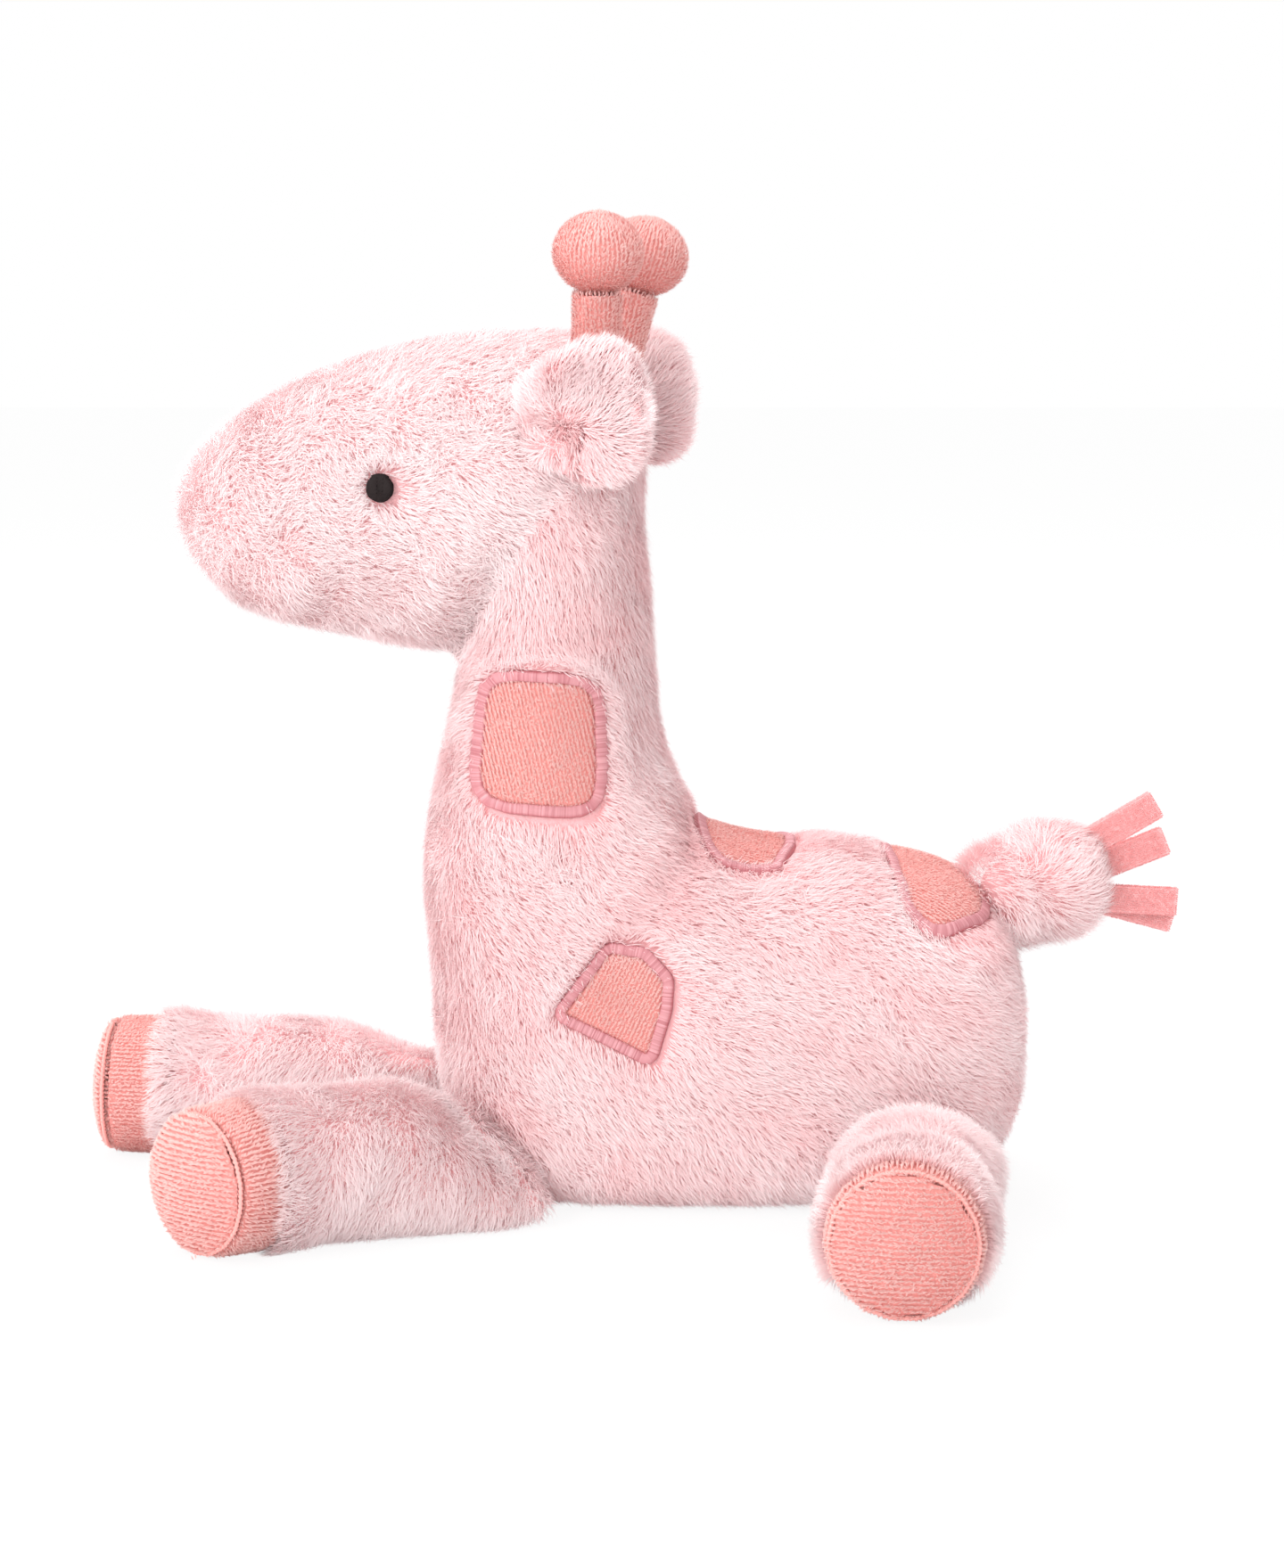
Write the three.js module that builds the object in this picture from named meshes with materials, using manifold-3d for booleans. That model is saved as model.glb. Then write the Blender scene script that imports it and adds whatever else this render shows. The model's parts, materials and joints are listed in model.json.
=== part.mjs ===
// A stuffed giraffe, about 27 cm tall, lying on its belly with its head up and its legs spread:
// plush skins over stuffing, velour hooves, horns and spots, and cut strips at the end of the tail.
// Millimetres, +Z up. The nose points to -X and the left side faces -Y. The origin is on the floor,
// under the middle of the whole toy.
import * as THREE from "three";
import { mergeVertices } from "three/addons/utils/BufferGeometryUtils.js";
import Module from "manifold-3d";

const wasm = await Module();
wasm.setup();

// Body and neck, one skin
const bodyLength = 172.5; // chest to rump
const bodyHeight = 216; // floor to the end of the neck, which is hidden in the head
const bodyHalfWidth = 51;

// Head
const headLength = 137; // muzzle to back
const headHeight = 94; // jaw to crown
const headHalfWidth = 37.5;
const headSink = 66; // how far the neck reaches up inside the head
const headTurn = -8; // degrees about the neck, the nose turned to the toy's right

// Cloth and sewing
const plushWall = 5; // backing cloth and pile together
const seamGap = 0.3; // between pieces that are sewn or pressed together
const floorCut = 0.5; // how far the soft underside is pressed flat
const weldGap = 1e-4; // points nearer than this are one

// Legs, measured from the seam at the body
const frontLeftLegLength = 85; // seam to the rim of the sole
const frontRightLegLength = 98; // this one is pulled straight, the left one is pushed back
const rearLegLength = 92;
const legRadius = 22.5;
const legRootHeight = 18; // of the seam's middle over the floor
const legSeamHalf = 20; // half the length of the sewn seam
const legRootRadius = 6; // the bead that the sewn root of a leg makes
const legLeanShare = 0.45; // of the leg's length, over which its slanted root turns square
const cuffLength = 17;
const cuffInset = 0.6; // the velour lies lower than the pile
const soleRadius = 20.6;
const soleDome = 6; // how far the stuffing pushes the sole out

// Ears
const earLength = 38;
const earHalfWidth = 23;
const earThick = 15;
const earRootHalf = 11;
const earRootRadius = 4;
const earRootShares = [0.8, 0.755]; // of the head's length from the muzzle and of its height
const earRootBend = 24; // degrees, as the bends of earShares
const earBeadEndShare = 0.25; // of the root's length, how much it rounds off at its ends
const earTipShare = 0.22; // of the half width, how far the tip lies to the hollow side
const earSplay = 24; // degrees outwards from straight back
const earLean = -14; // degrees that the seam leans from upright
const earLiftShare = 0.05; // of its way back, how far the ear rises

// Horns
const hornHeight = 20; // stalk, from the middle of its round root
const hornStalkRadius = 7.2;
const hornKnobRadius = 12.6;
const hornKnobHalfHeight = 11.2;
const hornSpacing = 21; // each horn from the middle of the head
const hornRootShare = 0.905; // of the head's length from the muzzle
const hornWaistShare = 0.9; // of the stalk's radius, halfway up
const hornKnobSeatShare = 0.72; // of the knob's half height, how far its middle stands over the stalk
const hornLean = { left: 2, right: 15 }; // degrees backwards
const hornSplay = 5; // degrees outwards

// Tail
const tailLength = 21; // from the middle of its round root
const tailRadius = 15.5;
const tailRootRadius = 12.5;
const tailTipShare = 1.1; // of the tail's length, where its gathered end closes
const tailAimShares = [0.83, 0.39]; // of the body's length and height, where its line starts inside the body
const tailLift = 12; // degrees over level
const stripLength = 20;
const stripRoot = 2.5; // how far the strips start back from the tail's end
const stripWidth = 7.5;
const stripThick = 1.6;

// Sewn-on spots and the eyes
const neckPatchWidth = 38;
const neckPatchHeight = 42;
const neckPatchCorner = 11;
const flankPatchWidth = 34;
const flankPatchHeight = 34.5;
const saddlePatchWidth = 31;
const saddlePatchHeight = 58;
const rumpPatchWidth = 34;
const rumpPatchHeight = 78;
const patchCorner = 4;
const stitchWidth = 3.4;
const stitchDepth = 0.4; // the stitching's face under the tips of the pile
const patchDepth = 0.9; // the spot's face under the tips of the pile
const patchBed = 2.4; // the spot's back under the tips of the pile
const eyeRadius = 3.8;
const eyeDepth = 0.4;
const eyeBed = 1.8;
const eyeShares = [0.49, 0.53]; // of the head's length from the muzzle and of its height

// Shares and counts
const beadEndShare = 0.2; // of the seam's length, how much a sewn root rounds off at its ends
const rootSinkShare = 0.55; // of the plush wall, how deep a sewn root sits in the skin
const bodyRings = 26;
const bodyAround = 24;
const headRings = 18;
const headAround = 22;
const limbAround = 18;
const innerAround = 12;
const innerRings = 13;

// Each row: back line x, z, front line x, z, half width, how square the back half is and the front half.
// x is a share of the body's length from the chest, z of its height, and the width of its half width.
const bodyShares = [
  [0.377, 1.0, 0.093, 0.986, 0.6, 2.1, 2.1],
  [0.371, 0.926, 0.075, 0.898, 0.63, 2.1, 2.1],
  [0.371, 0.833, 0.07, 0.796, 0.65, 2.1, 2.1],
  [0.377, 0.731, 0.064, 0.708, 0.67, 2.1, 2.1],
  [0.388, 0.639, 0.035, 0.616, 0.69, 2.1, 2.1],
  [0.406, 0.565, 0.012, 0.509, 0.755, 2.1, 2.2],
  [0.432, 0.519, 0.003, 0.398, 0.82, 2.1, 2.2],
  [0.464, 0.493, 0.009, 0.278, 0.88, 2.2, 2.3],
  [0.504, 0.481, 0.023, 0.157, 0.92, 2.2, 2.5],
  [0.551, 0.472, 0.058, 0.046, 0.95, 2.3, 4.4],
  [0.597, 0.467, 0.151, 0.0, 0.97, 2.3, 5.5],
  [0.649, 0.465, 0.301, 0.0, 0.99, 2.3, 6],
  [0.707, 0.462, 0.475, 0.0, 1.0, 2.3, 6],
  [0.771, 0.455, 0.638, 0.0, 1.0, 2.3, 6],
  [0.835, 0.442, 0.765, 0.0, 0.98, 2.3, 5],
  [0.899, 0.417, 0.864, 0.005, 0.91, 2.3, 3.4],
  [0.948, 0.373, 0.936, 0.037, 0.785, 2.3, 2.6],
  [0.983, 0.306, 0.98, 0.102, 0.57, 2.2, 2.3],
];
const rumpEndShares = [1.0, 0.204];

// The same for the head, from the muzzle to the back: top line x, z, jaw line x, z, half width.
const headShares = [
  [0.018, 0.569, 0.018, 0.351, 0.33],
  [0.073, 0.67, 0.066, 0.234, 0.547],
  [0.161, 0.771, 0.146, 0.133, 0.707],
  [0.281, 0.862, 0.27, 0.08, 0.827],
  [0.423, 0.931, 0.409, 0.043, 0.92],
  [0.577, 0.973, 0.547, 0.011, 0.987],
  [0.708, 0.995, 0.657, 0.064, 0.98],
  [0.825, 0.995, 0.766, 0.234, 0.9],
  [0.92, 0.947, 0.869, 0.436, 0.71],
  [0.978, 0.851, 0.949, 0.606, 0.453],
];
const muzzleEndShares = [0.0, 0.457];
const headEndShares = [1.0, 0.734];
const headRoundness = 2.1;
const headAxisShare = 0.788; // of the head's length, where the neck's axis meets it
const neckAxisShare = 0.2145; // of the body's length, where the neck's axis stands

// Each row: distance along the leg, half size along the seam, half size across it.
const legShares = [
  [0.1, 1.05, 0.5],
  [0.2, 1.04, 0.74],
  [0.33, 1.02, 0.95],
  [0.48, 1.0, 1.0],
  [0.64, 0.98, 0.99],
  [0.8, 0.955, 0.955],
];
const soleShares = [
  [0.38, 0.86],
  [0.76, 0.56],
];

// Each row: distance along the ear, half width, half thickness, and the bend in degrees.
const earShares = [
  [0.12, 0.66, 0.8, 46],
  [0.3, 0.86, 1.0, 74],
  [0.5, 1.0, 1.0, 62],
  [0.72, 0.95, 0.96, 46],
  [0.88, 0.72, 0.8, 34],
];

// Each strip: degrees below the tail's own line, its root's height in strip widths over the middle of the
// tail's end, and how many thicknesses it lies to the right.
const stripPlaces = [
  [-19, 1.09, -1],
  [-10, 0.05, 0.4],
  [15, -1.0, -1],
  [27, -1.1, 1.2],
];

const tailShares = [
  [0.3, 1.0],
  [0.62, 1.0],
  [0.86, 0.88],
  [1.05, 0.6],
];

// Each leg: its length, where its line starts inside the body, and in degrees from straight ahead the bearing
// of its seam and the splay of its foot, then how far it curls and how far the seam slants.
const legPlaces = {
  front_left: { length: frontLeftLegLength, aimShare: 0.243, bearing: 66, splay: 17, curl: 28, slant: 41 },
  front_right: { length: frontRightLegLength, aimShare: 0.243, bearing: 33, splay: 3, curl: 0, slant: 41 },
  rear_left: { length: rearLegLength, aimShare: 0.8, bearing: 90, splay: 83, curl: 0, slant: 0 },
  rear_right: { length: rearLegLength, aimShare: 0.8, bearing: 90, splay: 83, curl: 0, slant: 0 },
};

// Corners of each spot, as shares of its width and height.
const neckPatchShares = [[0, 0.06], [0.1, 1], [0.97, 0.97], [1, 0.1], [0.88, 0]];
const flankPatchShares = [[0, 0.4], [0.45, 1], [0.78, 0.95], [1, 0.72], [0.98, 0.45], [0.84, 0]];
const saddlePatchShares = [
  [0, 0.5], [0.1, 0.2], [0.38, 0], [0.78, 0.02], [1, 0.35],
  [1, 0.65], [0.78, 0.98], [0.38, 1], [0.1, 0.8],
];
const rumpPatchShares = [
  [0, 0.5], [0.08, 0.25], [0.3, 0.05], [0.62, 0], [0.98, 0.16],
  [0.98, 0.84], [0.62, 1], [0.3, 0.95], [0.08, 0.75],
];

// Where each spot's line starts inside the body, as shares of its length and height.
const neckPatchPlaceShares = [0.196, 0.6];
const flankPatchPlaceShares = [0.318, 0.276];
const saddlePatchPlaceShares = [0.515, 0.3];
const rumpPatchPlaceShares = [0.745, 0.25];
const saddleTilt = 4; // degrees backwards from straight up
const rumpTilt = 26;

const UP = new THREE.Vector3(0, 0, 1);
const REAR = new THREE.Vector3(1, 0, 0);
const LEFT = new THREE.Vector3(0, -1, 0);
const RIGHT = new THREE.Vector3(0, 1, 0);
const QUARTER_TURN = Math.PI / 2;

const skinPink = new THREE.MeshStandardMaterial({ color: 0xf6c3c8, roughness: 0.95, metalness: 0 });
const stuffingWhite = new THREE.MeshStandardMaterial({ color: 0xf4f2ee, roughness: 1, metalness: 0 });
const coralVelour = new THREE.MeshStandardMaterial({ color: 0xf39a90, roughness: 0.85, metalness: 0 });
const coralFelt = new THREE.MeshStandardMaterial({ color: 0xf08c86, roughness: 0.9, metalness: 0 });
const roseThread = new THREE.MeshStandardMaterial({ color: 0xd9909a, roughness: 0.6, metalness: 0 });
const blackThread = new THREE.MeshStandardMaterial({ color: 0x161214, roughness: 0.55, metalness: 0 });

const radians = THREE.MathUtils.degToRad;

// A section is a closed ring: a centre, two half axes and how square each half of it is.
function section(centre, a, b, squareUp = 2, squareDown = 2) {
  return { centre, a, b, squareUp, squareDown };
}

function ringPoints(ring, around) {
  const power = (value, square) => Math.sign(value) * Math.abs(value) ** (2 / square);
  return Array.from({ length: around }, (_, i) => {
    const angle = (2 * Math.PI * i) / around;
    const along = Math.cos(angle);
    const square = along >= 0 ? ring.squareUp : ring.squareDown;
    return ring.centre
      .clone()
      .addScaledVector(ring.a, power(along, square))
      .addScaledVector(ring.b, power(Math.sin(angle), square));
  });
}

// Sections spaced evenly along smooth curves through the given ones.
function smoothSections(rings, count) {
  const curve = (pick) => new THREE.CatmullRomCurve3(rings.map(pick), false, "catmullrom", 0.5);
  const centres = curve((ring) => ring.centre);
  const firstAxes = curve((ring) => ring.a);
  const secondAxes = curve((ring) => ring.b);
  const squares = curve((ring) => new THREE.Vector3(ring.squareUp, ring.squareDown, 0));
  return Array.from({ length: count }, (_, i) => {
    const t = i / (count - 1);
    const square = squares.getPoint(t);
    return section(centres.getPoint(t), firstAxes.getPoint(t), secondAxes.getPoint(t), square.x, square.y);
  });
}

// Makes a triangle mesh face outwards.
function faceOut(geometry) {
  const p = geometry.attributes.position;
  const index = geometry.index.array;
  const corners = [new THREE.Vector3(), new THREE.Vector3(), new THREE.Vector3()];
  let volume = 0;
  for (let i = 0; i < index.length; i += 3) {
    corners.forEach((corner, k) => corner.fromBufferAttribute(p, index[i + k]));
    volume += corners[0].dot(corners[1].clone().cross(corners[2]));
  }
  if (volume < 0)
    for (let i = 0; i < index.length; i += 3) [index[i + 1], index[i + 2]] = [index[i + 2], index[i + 1]];
  return geometry;
}

// Skins a row of rings of points, each end closed at a point.
function skinRings(rings, startPoint, endPoint) {
  const around = rings[0].length;
  const points = [...rings.flat(), startPoint, endPoint];
  const start = points.length - 2;
  const index = [];
  for (let k = 0; k < around; k++) {
    const next = (k + 1) % around;
    for (let i = 0; i + 1 < rings.length; i++) {
      const near = i * around;
      const far = near + around;
      index.push(near + k, far + k, far + next, near + k, far + next, near + next);
    }
    const last = (rings.length - 1) * around;
    index.push(start, k, next, start + 1, last + next, last + k);
  }
  const geometry = new THREE.BufferGeometry().setFromPoints(points);
  geometry.setIndex(index);
  return faceOut(geometry);
}

function loft(sections, around, startPoint, endPoint) {
  const rings = sections.map((ring) => ringPoints(ring, around));
  return skinRings(rings, startPoint ?? sections[0].centre, endPoint ?? sections.at(-1).centre);
}

// The same surface moved along its own normals, outwards where the distance is positive.
function moved(geometry, distance) {
  const copy = geometry.clone();
  copy.computeVertexNormals();
  const normals = copy.attributes.normal;
  const points = copy.attributes.position;
  for (let i = 0; i < points.count; i++) {
    points.setXYZ(
      i,
      points.getX(i) + normals.getX(i) * distance,
      points.getY(i) + normals.getY(i) * distance,
      points.getZ(i) + normals.getZ(i) * distance,
    );
  }
  copy.deleteAttribute("normal");
  return copy;
}

// Sections drawn in by a wall, for the inside of a skin or for what fills it.
function drawnIn(sections, wall) {
  return sections
    .filter((ring) => Math.min(ring.a.length(), ring.b.length()) > 1.6 * wall)
    .map((ring) =>
      section(
        ring.centre,
        ring.a.clone().setLength(ring.a.length() - wall),
        ring.b.clone().setLength(ring.b.length() - wall),
        ring.squareUp,
        ring.squareDown,
      ),
    );
}

// A geometry's positions and faces alone, each point there once.
function welded(geometry, matrix = new THREE.Matrix4()) {
  const bare = new THREE.BufferGeometry().setAttribute("position", geometry.attributes.position.clone());
  if (geometry.index) bare.setIndex(geometry.index.clone());
  return mergeVertices(bare.applyMatrix4(matrix), weldGap);
}

// A solid for joining and cutting, from any closed geometry, placed by a matrix.
function solid(geometry, matrix) {
  const merged = faceOut(welded(geometry, matrix));
  return new wasm.Manifold(
    new wasm.Mesh({
      numProp: 3,
      vertProperties: new Float32Array(merged.attributes.position.array),
      triVerts: new Uint32Array(merged.index.array),
    }),
  );
}

function geometryOf(made) {
  const { vertProperties, triVerts } = made.getMesh();
  const geometry = new THREE.BufferGeometry();
  geometry.setAttribute("position", new THREE.BufferAttribute(vertProperties, 3));
  geometry.setIndex(new THREE.BufferAttribute(triVerts, 1));
  geometry.computeVertexNormals();
  return geometry;
}

function piece(name, made, material) {
  const mesh = new THREE.Mesh(geometryOf(made), material);
  mesh.name = name;
  return mesh;
}

// A matrix that puts the local axes x, y and z along the given ones, at a place.
function placing(place, x, y, z) {
  return new THREE.Matrix4().makeBasis(x, y, z).setPosition(place);
}

// Where a ray from a point inside a surface leaves it.
function surfacePoint(geometry, from, direction) {
  const mesh = new THREE.Mesh(geometry, new THREE.MeshBasicMaterial({ side: THREE.DoubleSide }));
  const hits = new THREE.Raycaster(from, direction.clone().normalize()).intersectObject(mesh);
  const hit = hits.at(-1);
  return { point: hit.point, normal: hit.face.normal.clone() };
}

// A block under the floor, as wide as anything that stands on it.
const floorReach = 4 * bodyLength;
function underFloor(matrix = new THREE.Matrix4()) {
  const block = new THREE.BoxGeometry(floorReach, floorReach, bodyHeight);
  block.translate(0, 0, -bodyHeight / 2);
  return solid(block, matrix);
}

// Body skin, before anything is cut from it
const bodySections = bodyShares.map(([backX, backZ, frontX, frontZ, half, squareBack, squareFront]) => {
  const back = new THREE.Vector3(backX * bodyLength, 0, backZ * bodyHeight - floorCut);
  const front = new THREE.Vector3(frontX * bodyLength, 0, frontZ * bodyHeight - floorCut);
  const centre = back.clone().add(front).multiplyScalar(0.5);
  const across = LEFT.clone().multiplyScalar(half * bodyHalfWidth);
  return section(centre, back.sub(centre), across, squareBack, squareFront);
});
const rumpEnd = new THREE.Vector3(rumpEndShares[0] * bodyLength, 0, rumpEndShares[1] * bodyHeight - floorCut);
const bodyForm = loft(smoothSections(bodySections, bodyRings), bodyAround, null, rumpEnd);
const bodyCoarse = loft(smoothSections(bodySections, innerRings), innerAround, null, rumpEnd);
const bodyInner = (wall) => moved(bodyCoarse, -wall);

// Head skin, in the head's own frame: its origin is at jaw height on the axis of the neck
const headX = (share) => (share - headAxisShare) * headLength;
const headSections = headShares.map(([topX, topZ, jawX, jawZ, half]) => {
  const top = new THREE.Vector3(headX(topX), 0, topZ * headHeight);
  const jaw = new THREE.Vector3(headX(jawX), 0, jawZ * headHeight);
  const centre = top.clone().add(jaw).multiplyScalar(0.5);
  const across = LEFT.clone().multiplyScalar(half * headHalfWidth);
  return section(centre, top.sub(centre), across, headRoundness, headRoundness);
});
const muzzleEnd = new THREE.Vector3(headX(muzzleEndShares[0]), 0, muzzleEndShares[1] * headHeight);
const headEnd = new THREE.Vector3(headX(headEndShares[0]), 0, headEndShares[1] * headHeight);
const headForm = loft(smoothSections(headSections, headRings), headAround, muzzleEnd, headEnd);
const headCoarse = loft(smoothSections(headSections, innerRings), innerAround, muzzleEnd, headEnd);
const headInner = (wall) => moved(headCoarse, -wall);

const headGroup = new THREE.Group();
headGroup.position.set(neckAxisShare * bodyLength, 0, bodyHeight - floorCut - headSink);
headGroup.rotation.z = radians(headTurn);
headGroup.updateMatrix();
const headPlace = headGroup.matrix.clone();
const intoHead = headPlace.clone().invert();

// A groove or a round dimple for a sewn root, cut from the skin that carries it
const rootSink = rootSinkShare * plushWall;
function groove(radius, half, place, along) {
  const wide = radius + seamGap;
  const rod = new THREE.CylinderGeometry(wide, wide, 2 * (half + seamGap), innerAround);
  const turn = new THREE.Quaternion().setFromUnitVectors(new THREE.Vector3(0, 1, 0), along);
  return solid(rod, new THREE.Matrix4().compose(place, turn, new THREE.Vector3(1, 1, 1)));
}
function dimple(radius, place) {
  const ball = new THREE.SphereGeometry(radius + seamGap, limbAround, innerAround);
  return solid(ball, new THREE.Matrix4().setPosition(place));
}

const bodyCuts = [];
const headCuts = [];

// Where each sewn root turns: a point, and an axis about which a positive turn opens it
const joints = {};
function addJoint(name, pivot, axis, place = new THREE.Matrix4()) {
  joints[name] = { pivot: pivot.clone().applyMatrix4(place), axis: axis.clone().transformDirection(place) };
}

// A leg: a plush tube sewn flat at the body, with a velour cuff and a domed sole.
// Its own frame has x along the leg, y across the seam and z up the seam, with the origin on the seam.
const legGroups = [];

const alongLeg = (x) => new THREE.Vector3(x, 0, 0);
const legSection = (x, alongSeam, across) =>
  section(alongLeg(x), new THREE.Vector3(0, 0, alongSeam), new THREE.Vector3(0, across, 0));

function legTube(length, shrink) {
  return [
    ...legShares.map(([x, up, across]) =>
      legSection(x * length, up * legRadius - shrink, across * legRadius - shrink),
    ),
    legSection(length, soleRadius - shrink, soleRadius - shrink),
    ...soleShares.map(([x, size]) => legSection(length + x * soleDome, size * soleRadius, size * soleRadius)),
  ];
}

function legForm(length, shrink) {
  const bead = [30, 60, 90].map((turn) => {
    const sine = Math.sin(radians(turn));
    const x = -legRootRadius * Math.cos(radians(turn));
    return legSection(x, legSeamHalf * (1 - beadEndShare + beadEndShare * sine), legRootRadius * sine);
  });
  const rings = [...bead, ...legTube(length, shrink)];
  return loft(rings, limbAround, alongLeg(-legRootRadius), alongLeg(length + soleDome));
}

// The hollow of a leg, or what fills it, closed flat against the back of the sole.
function legInner(length, wall, end) {
  const rings = drawnIn(legTube(length, 0).slice(0, legShares.length), wall);
  rings[0].centre.x += wall;
  return loft([...rings, legSection(end, soleRadius - wall, soleRadius - wall)], innerAround);
}

function slab(fromX, toX) {
  const reach = 4 * legRadius;
  const block = new THREE.BoxGeometry(toX - fromX, reach, reach);
  block.translate((fromX + toX) / 2, 0, 0);
  return solid(block);
}

function makeLeg(name, side, { length, aimShare, bearing, splay, curl, slant }) {
  const aim = new THREE.Vector3(aimShare * bodyLength, 0, legRootHeight);
  const out = new THREE.Vector3(-Math.cos(radians(bearing)), side * Math.sin(radians(bearing)), 0);
  const { point, normal } = surfacePoint(bodyForm, aim, out);
  const level = new THREE.Vector3(normal.x, normal.y, 0).normalize();
  const rearward = new THREE.Vector3().crossVectors(UP, level).multiplyScalar(-side);
  const seam = rearward.multiplyScalar(Math.cos(radians(slant)));
  seam.addScaledVector(UP, -Math.sin(radians(slant)));
  const root = point.clone().addScaledVector(level, legRootRadius - rootSink);

  // The sole's rim rests on the floor, which sets how far the leg dips on its way out.
  const drop = soleRadius - floorCut - root.z;
  const reach = Math.sqrt(length ** 2 - drop ** 2);
  const toe = new THREE.Vector3(-Math.cos(radians(splay)), side * Math.sin(radians(splay)), 0);
  const along = toe.multiplyScalar(reach).setZ(drop).normalize();
  const across = new THREE.Vector3().crossVectors(seam, along).normalize();
  const upSeam = new THREE.Vector3().crossVectors(along, across).normalize();
  const place = placing(root, along, across, upSeam);
  const into = place.clone().invert();

  // The root bead lies along the seam, so the tube leans from the seam's slant to square with its length.
  // Towards the foot the leg curls sideways, level with the floor.
  const lean = along.dot(seam) / upSeam.dot(seam);
  const aside = new THREE.Vector3().crossVectors(UP, along).multiplyScalar(-side).normalize();
  const asideY = aside.dot(across);
  const asideZ = aside.dot(upSeam);
  const posed = (made) =>
    made.warp((v) => {
      const fade = Math.max(0, 1 - Math.max(0, v[0]) / (legLeanShare * length));
      const x = Math.max(0, v[0]) / length;
      const turn = radians(curl) * x * x;
      const off = v[1] * asideY + v[2] * asideZ;
      const curled = off * (Math.cos(turn) - 1) + (turn * v[0]) / 3;
      v[0] += lean * v[2] * fade - (v[0] * turn * turn) / 10 - off * Math.sin(turn);
      v[1] += asideY * curled;
      v[2] += asideZ * curled;
    });
  const floor = underFloor(into);
  const body = solid(moved(bodyForm, seamGap), into);
  const sleeveEnd = length - cuffLength;
  const whole = solid(legForm(length, 0));
  const slim = solid(legForm(length, cuffInset));
  const inside = solid(legInner(length, plushWall, length));
  const stuffing = solid(legInner(length, plushWall + seamGap, length - seamGap));

  const skin = whole.intersect(slab(-2 * legRadius, sleeveEnd - seamGap)).subtract(inside);
  const cuff = slim.intersect(slab(sleeveEnd, length - seamGap)).subtract(inside);
  const sole = slim.intersect(slab(length, length + 2 * soleDome));

  const group = new THREE.Group();
  group.applyMatrix4(place);
  group.add(piece(`${name}_leg_skin`, posed(skin).subtract(floor).subtract(body), skinPink));
  group.add(piece(`${name}_hoof_cuff`, posed(cuff).subtract(floor), coralVelour));
  group.add(piece(`${name}_hoof_sole`, posed(sole).subtract(floor), coralVelour));
  group.add(piece(`${name}_leg_stuffing`, posed(stuffing), stuffingWhite));
  legGroups.push(group);
  addJoint(`${name}_leg`, root, seam.clone().multiplyScalar(side));
  bodyCuts.push(groove(legRootRadius, legSeamHalf, root, seam.clone().normalize()));
}

for (const [name, where] of Object.entries(legPlaces)) makeLeg(name, name.endsWith("left") ? -1 : 1, where);

// An ear: a leaf of plush folded lengthways, hung from a short seam on the side of the head.
// Its own frame has x along the ear, z along the seam and y to the hollow side.
function bentRing(x, half, thick, bend, around) {
  const angle = radians(bend);
  const radius = half / angle;
  return Array.from({ length: around }, (_, i) => {
    const turn = (2 * Math.PI * i) / around;
    const swing = Math.cos(turn) * angle;
    const reach = radius - Math.sin(turn) * thick;
    return new THREE.Vector3(x, radius - reach * Math.cos(swing), reach * Math.sin(swing));
  });
}

function makeEar(name, side) {
  const aim = new THREE.Vector3(headX(earRootShares[0]), 0, earRootShares[1] * headHeight);
  const { point, normal } = surfacePoint(headForm, aim, new THREE.Vector3(0, side, 0));
  const root = point.clone().addScaledVector(normal, earRootRadius - rootSink);
  const splay = radians(earSplay);
  const along = new THREE.Vector3(Math.cos(splay), side * Math.sin(splay), earLiftShare).normalize();
  const lean = new THREE.Vector3(Math.sin(radians(earLean)), 0, Math.cos(radians(earLean)));
  const hollow = new THREE.Vector3().crossVectors(lean, along).multiplyScalar(side).normalize();
  const seam = new THREE.Vector3().crossVectors(along, hollow).normalize();
  const place = placing(root, along, hollow, seam);

  const rings = [];
  for (const turn of [35, 90]) {
    const sine = Math.sin(radians(turn));
    const x = -earRootRadius * Math.cos(radians(turn));
    const half = earRootHalf * (1 - earBeadEndShare + earBeadEndShare * sine);
    rings.push(bentRing(x, half, earRootRadius * sine, earRootBend, limbAround));
  }
  for (const [x, half, thick, bend] of earShares)
    rings.push(bentRing(x * earLength, half * earHalfWidth, (thick * earThick) / 2, bend, limbAround));
  const tip = new THREE.Vector3(earLength, earTipShare * earHalfWidth, 0);
  const form = skinRings(rings, new THREE.Vector3(-earRootRadius, 0, 0), tip);
  const head = solid(moved(headForm, seamGap), place.clone().invert());
  const neck = solid(moved(bodyForm, seamGap), place.clone().invert().multiply(intoHead));
  const group = new THREE.Group();
  group.applyMatrix4(place);
  group.add(piece(`${name}_ear`, solid(form).subtract(head).subtract(neck), skinPink));
  headGroup.add(group);
  headCuts.push(groove(earRootRadius, earRootHalf, root, seam));
  addJoint(`${name}_ear`, root, seam, headPlace);
}

makeEar("left", -1);
makeEar("right", 1);

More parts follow.
